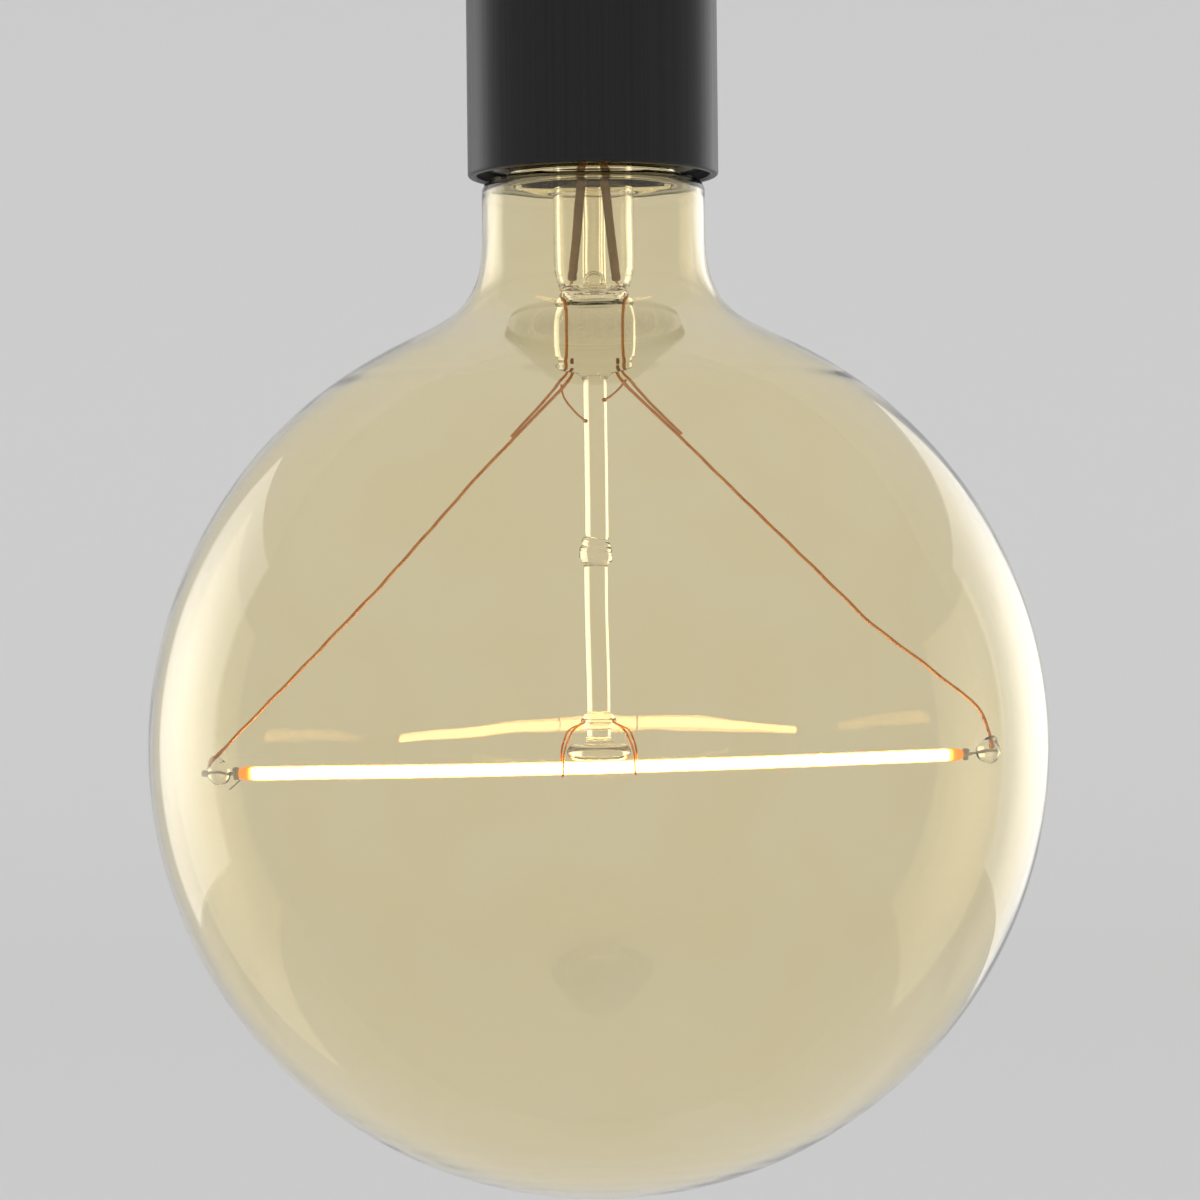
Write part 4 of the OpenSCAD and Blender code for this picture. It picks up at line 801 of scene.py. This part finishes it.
BRACES = {
    "left_brace": [(-4.71, 0.47, 50.38), (-4.29, 0.47, 48.6), (-3.04, 0.45, 46.9),
                   (-1.9, 0.4, 45.8), (-0.68, 0.3, 45.25)],
    "right_brace": [(4.41, 0.47, 50.9), (3.27, 0.46, 49.7), (1.9, 0.4, 48.6), (0.6, 0.3, 48.2)],
}


def braces():
    """The wires from the leads into the rod, thicker where the glass has flowed round them."""
    for node, points in BRACES.items():
        line = curve_points(points, 8)
        radii = [BRACE_R + ROD_ENTRY * smooth_step((ENTRY_X - abs(q.x)) / ENTRY_RUN)
                 for q in line]
        wire(node, line, radii, 16)


# Where the hairpins stand, how wide their hooks are and how far these bow out
HOOK_X = 5.1
HOOK_R = 1.12
HOOK_BOW = 0.12


def anchors():
    """The hairpins from the collar that hook the filament."""
    for side, name in SIDES:
        x = side * HOOK_X
        z = fil_z(x)
        angles = [math.radians(a) for a in range(180, 361, 15)]
        hook = [(x + side * HOOK_BOW * math.cos(a), HOOK_R * math.cos(a), z + HOOK_R * math.sin(a))
                for a in angles]
        front = soft_path([(side * 1.45, -0.84, 3.7), (side * 3.55, -1.12, 2.3),
                           (side * 4.85, -1.13, -0.6), hook[0]], 0.8, 6)
        back = soft_path([hook[-1], (side * 5.25, 1.13, -0.4), (side * 4.3, 1.12, 2.1),
                          (side * 1.95, 0.84, 3.3)], 0.8, 6)
        wire(name + "_anchor", front + hook[1:-1] + back, ANCHOR_R)


# The two screw threads. Heights are over the cap's lower edge

THREAD_SEGMENTS = 144
ROWS_PER_TURN = 24
THREAD_DEPTH = (THREAD_MAJOR - THREAD_MINOR) / 2
CAP_THREAD = (7.4, 22.0)
# The cap's plain skirt under its thread and rounded shoulder over it, as (height, radius)
SKIRT = [(0.0, 13.65), (0.75, 13.65), (0.95, 13.6), (1.2, 13.38), (1.4, 13.35), (6.0, 13.35),
         (6.3, 13.28), (7.1, 12.25)]
SHOULDER = [(22.3, 12.05)] + [
    (22.6 + 1.6 * math.sin(math.radians(a)), 10.6 + 1.4 * math.cos(math.radians(a)))
    for a in range(10, 91, 10)]


def wave(z, angle):
    """1 at a crest of the thread and 0 at a root."""
    return (1 + math.cos(TAU * z / THREAD_PITCH - angle)) / 2


def thread_rows(start, end):
    """Heights up a thread, each with how full the thread is there. It fades at both ends."""
    steps = int((end - start) / THREAD_PITCH * ROWS_PER_TURN)
    heights = [start + i * THREAD_PITCH / ROWS_PER_TURN for i in range(steps + 1)]
    return [(z, min(1.0, max(0.0, min(z - start, end - z) / THREAD_RUN))) for z in heights]


def spun_sheet(name, rows, radius, sheet, mat, slot, node, body):
    """A threaded tube of sheet metal. radius(row, angle) gives one face, and the other is sheet
    further out."""
    loops = []
    for out, order in ((0, 1), (sheet, -1)):
        for row in rows[::order]:
            loop = []
            for k in range(THREAD_SEGMENTS):
                angle = TAU * k / THREAD_SEGMENTS
                r = radius(row, angle) + out
                loop.append((r * math.cos(angle), r * math.sin(angle), row[0]))
            loops.append(loop)
    piece(name, *rings(loops, closed=True), mat, slot, [node], body, CAP_Z)


def threads():
    """The cap's shell and the socket's thread shell."""
    root = THREAD_MINOR / 2
    rows = ([(z, r, 0.0) for z, r in SKIRT]
            + [(z, root, full) for z, full in thread_rows(*CAP_THREAD)]
            + [(z, r, 0.0) for z, r in SHOULDER])
    spun_sheet("threaded_cap", rows,
               lambda row, angle: row[1] + THREAD_DEPTH * row[2] * wave(row[0], angle),
               -CAP_SHEET, NICKEL, "nickel", "cap_shell", "bulb")
    low, high = (corner.z / MM - CAP_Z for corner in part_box("thread_shell"))
    face = root + THREAD_GAP
    spun_sheet("socket_thread", thread_rows(low, high) + [(high, 0.0)],
               lambda row, angle: face + THREAD_DEPTH * (1 - row[1] * (1 - wave(row[0], angle))),
               CAP_SHEET, BRASS, "brass", "thread_shell", "holder")


globe()
stem()
exhaust()
filament()
ends()
supports()
leads()
braces()
anchors()
threads()


# Every remaining CAD node gets its material
FINISHES = {
    BLACK: ["holder_sleeve", "holder_lid", "entry_bush"],
    NICKEL: ["bush_nut", "insert_screws", "terminal_screws", "earth_screw"],
    STEEL_BLACK: ["bush_grub", "sleeve_grubs"],
    BRASS: ["earth_tag", "contact_foot", "centre_contact", "neutral_strip", "live_terminal",
            "neutral_terminal"],
    CERAMIC: ["socket_insert"],
    TIP: ["tip_contact"],
    BLACK_GLASS: ["cap_insulator"],
    CEMENT: ["basing_cement"],
    RED: ["live_wire"],
    WHITE: ["neutral_wire"],
    BOARD: ["driver_board"],
    SHRINK: ["smoothing_capacitor"],
    FERRITE: ["inductor"],
    PACKAGE: ["bridge_rectifier", "driver_chip"],
    RESISTOR: ["fuse_resistor"],
    STRIP: ["filament_strip"],
    CHIPS: ["led_chips"],
}
for finish, finished_nodes in FINISHES.items():
    for finished_node in finished_nodes:
        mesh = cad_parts[finished_node].data
        mesh.materials.clear()
        mesh.materials.append(finish)


# Stage, lights and camera, in metres

STAGE_HALF_WIDTH = 18.0
# From the globe down to the floor
FLOOR_DROP = 0.42
BEND_Y, BEND_R = 4.3, 2.9
BACKDROP_TOP = 10.0


def stage():
    """A pale floor that curves up into a pale backdrop."""
    floor_z = CAD_BOX[0][2] - FLOOR_DROP
    line = [(-STAGE_HALF_WIDTH, floor_z)] + [
        (BEND_Y + BEND_R * math.sin(math.radians(a)),
         floor_z + BEND_R * (1 - math.cos(math.radians(a))))
        for a in range(0, 91, 3)] + [(BEND_Y + BEND_R, BACKDROP_TOP)]
    verts = [(x, y, z) for y, z in line for x in (-STAGE_HALF_WIDTH, STAGE_HALF_WIDTH)]
    faces = [[2 * i, 2 * i + 1, 2 * i + 3, 2 * i + 2] for i in range(len(line) - 1)]
    mesh = bpy.data.meshes.new("backdrop")
    mesh.from_pydata(verts, [], faces)
    mesh.polygons.foreach_set("use_smooth", [True] * len(faces))
    mesh.materials.append(material("pale_backdrop", (0.78, 0.777, 0.77), rough=0.9))
    obj = bpy.data.objects.new("backdrop", mesh)
    bpy.context.scene.collection.objects.link(obj)


CENTER = Vector((0, 0, GLOBE_Z * MM))
SOFTBOX_DISTANCE = 0.85
# A softbox's light falls off from its middle to EDGE_AT of its size away from there
MIDDLE_LEVEL, EDGE_LEVEL = 1.7, 0.65
EDGE_AT = 0.6


def softbox(name, azimuth, elevation, size, radiance):
    """A soft lamp that faces the globe's centre, and that the camera doesn't see.

    Azimuth runs from the camera's side, +X positive."""
    data = bpy.data.lights.new(name, "AREA")
    data.shape = "RECTANGLE"
    data.size, data.size_y = size
    data.energy = radiance * math.pi * size[0] * size[1]
    data.use_nodes = True
    nodes, links = data.node_tree.nodes, data.node_tree.links
    spot = nodes.new("ShaderNodeNewGeometry")
    off = nodes.new("ShaderNodeVectorMath")
    off.operation = "DISTANCE"
    off.inputs[1].default_value = (0.5, 0.5, 0)
    links.new(spot.outputs["Parametric"], off.inputs[0])
    fall = nodes.new("ShaderNodeMapRange")
    fall.interpolation_type = "SMOOTHSTEP"
    fall.inputs["From Max"].default_value = EDGE_AT
    fall.inputs["To Min"].default_value = MIDDLE_LEVEL
    fall.inputs["To Max"].default_value = EDGE_LEVEL
    links.new(off.outputs["Value"], fall.inputs["Value"])
    links.new(fall.outputs["Result"], nodes["Emission"].inputs["Strength"])

    az, el = math.radians(azimuth), math.radians(elevation)
    away = Vector((math.sin(az) * math.cos(el), -math.cos(az) * math.cos(el), math.sin(el)))
    obj = bpy.data.objects.new(name, data)
    obj.location = CENTER + SOFTBOX_DISTANCE * away
    obj.rotation_euler = (CENTER - obj.location).to_track_quat("-Z", "Y").to_euler()
    obj.visible_camera = False
    bpy.context.scene.collection.objects.link(obj)


# The studio round the lamp: one level for the light it gives, another for how it looks
FILL_LEVEL = 0.85
SEEN_LEVEL = 0.55


def studio():
    """An even pale world."""
    world = bpy.data.worlds.new("studio")
    world.use_nodes = True
    nodes, links = world.node_tree.nodes, world.node_tree.links
    ray = nodes.new("ShaderNodeLightPath")
    level = nodes.new("ShaderNodeMapRange")
    level.inputs["To Min"].default_value = SEEN_LEVEL
    level.inputs["To Max"].default_value = FILL_LEVEL
    links.new(ray.outputs["Is Diffuse Ray"], level.inputs["Value"])
    nodes["Background"].inputs["Color"].default_value = (0.99, 0.99, 1, 1)
    links.new(level.outputs["Result"], nodes["Background"].inputs["Strength"])
    bpy.context.scene.world = world


# The photo's view: the camera's distance, its place beside and over the globe's centre, its
# slight roll and its lens
DISTANCE = 0.494
ASIDE = 0.00035
RISE = 0.02034
ROLL = math.radians(0.6)
SENSOR_WIDTH = 36
LENS = 106.1


def camera():
    """A camera that sees the lamp as the photo does."""
    data = bpy.data.cameras.new("photo_camera")
    data.sensor_width = SENSOR_WIDTH
    data.lens = LENS
    obj = bpy.data.objects.new("photo_camera", data)
    obj.location = (ASIDE, -DISTANCE, CENTER.z + RISE)
    obj.rotation_euler = (math.radians(90), ROLL, 0)
    bpy.context.scene.collection.objects.link(obj)
    bpy.context.scene.camera = obj


stage()
softbox("left_softbox", -126, 5.5, (0.54, 0.72), 0.9)
softbox("right_softbox", 138, 3, (0.62, 0.66), 0.8)
studio()
camera()
bpy.context.scene.view_settings.view_transform = "Standard"
# A ray through globe, stem and exhaust tube crosses twelve faces of glass on its way
GLASS_BOUNCES = 24
bpy.context.scene.cycles.max_bounces = GLASS_BOUNCES
bpy.context.scene.cycles.transmission_bounces = GLASS_BOUNCES
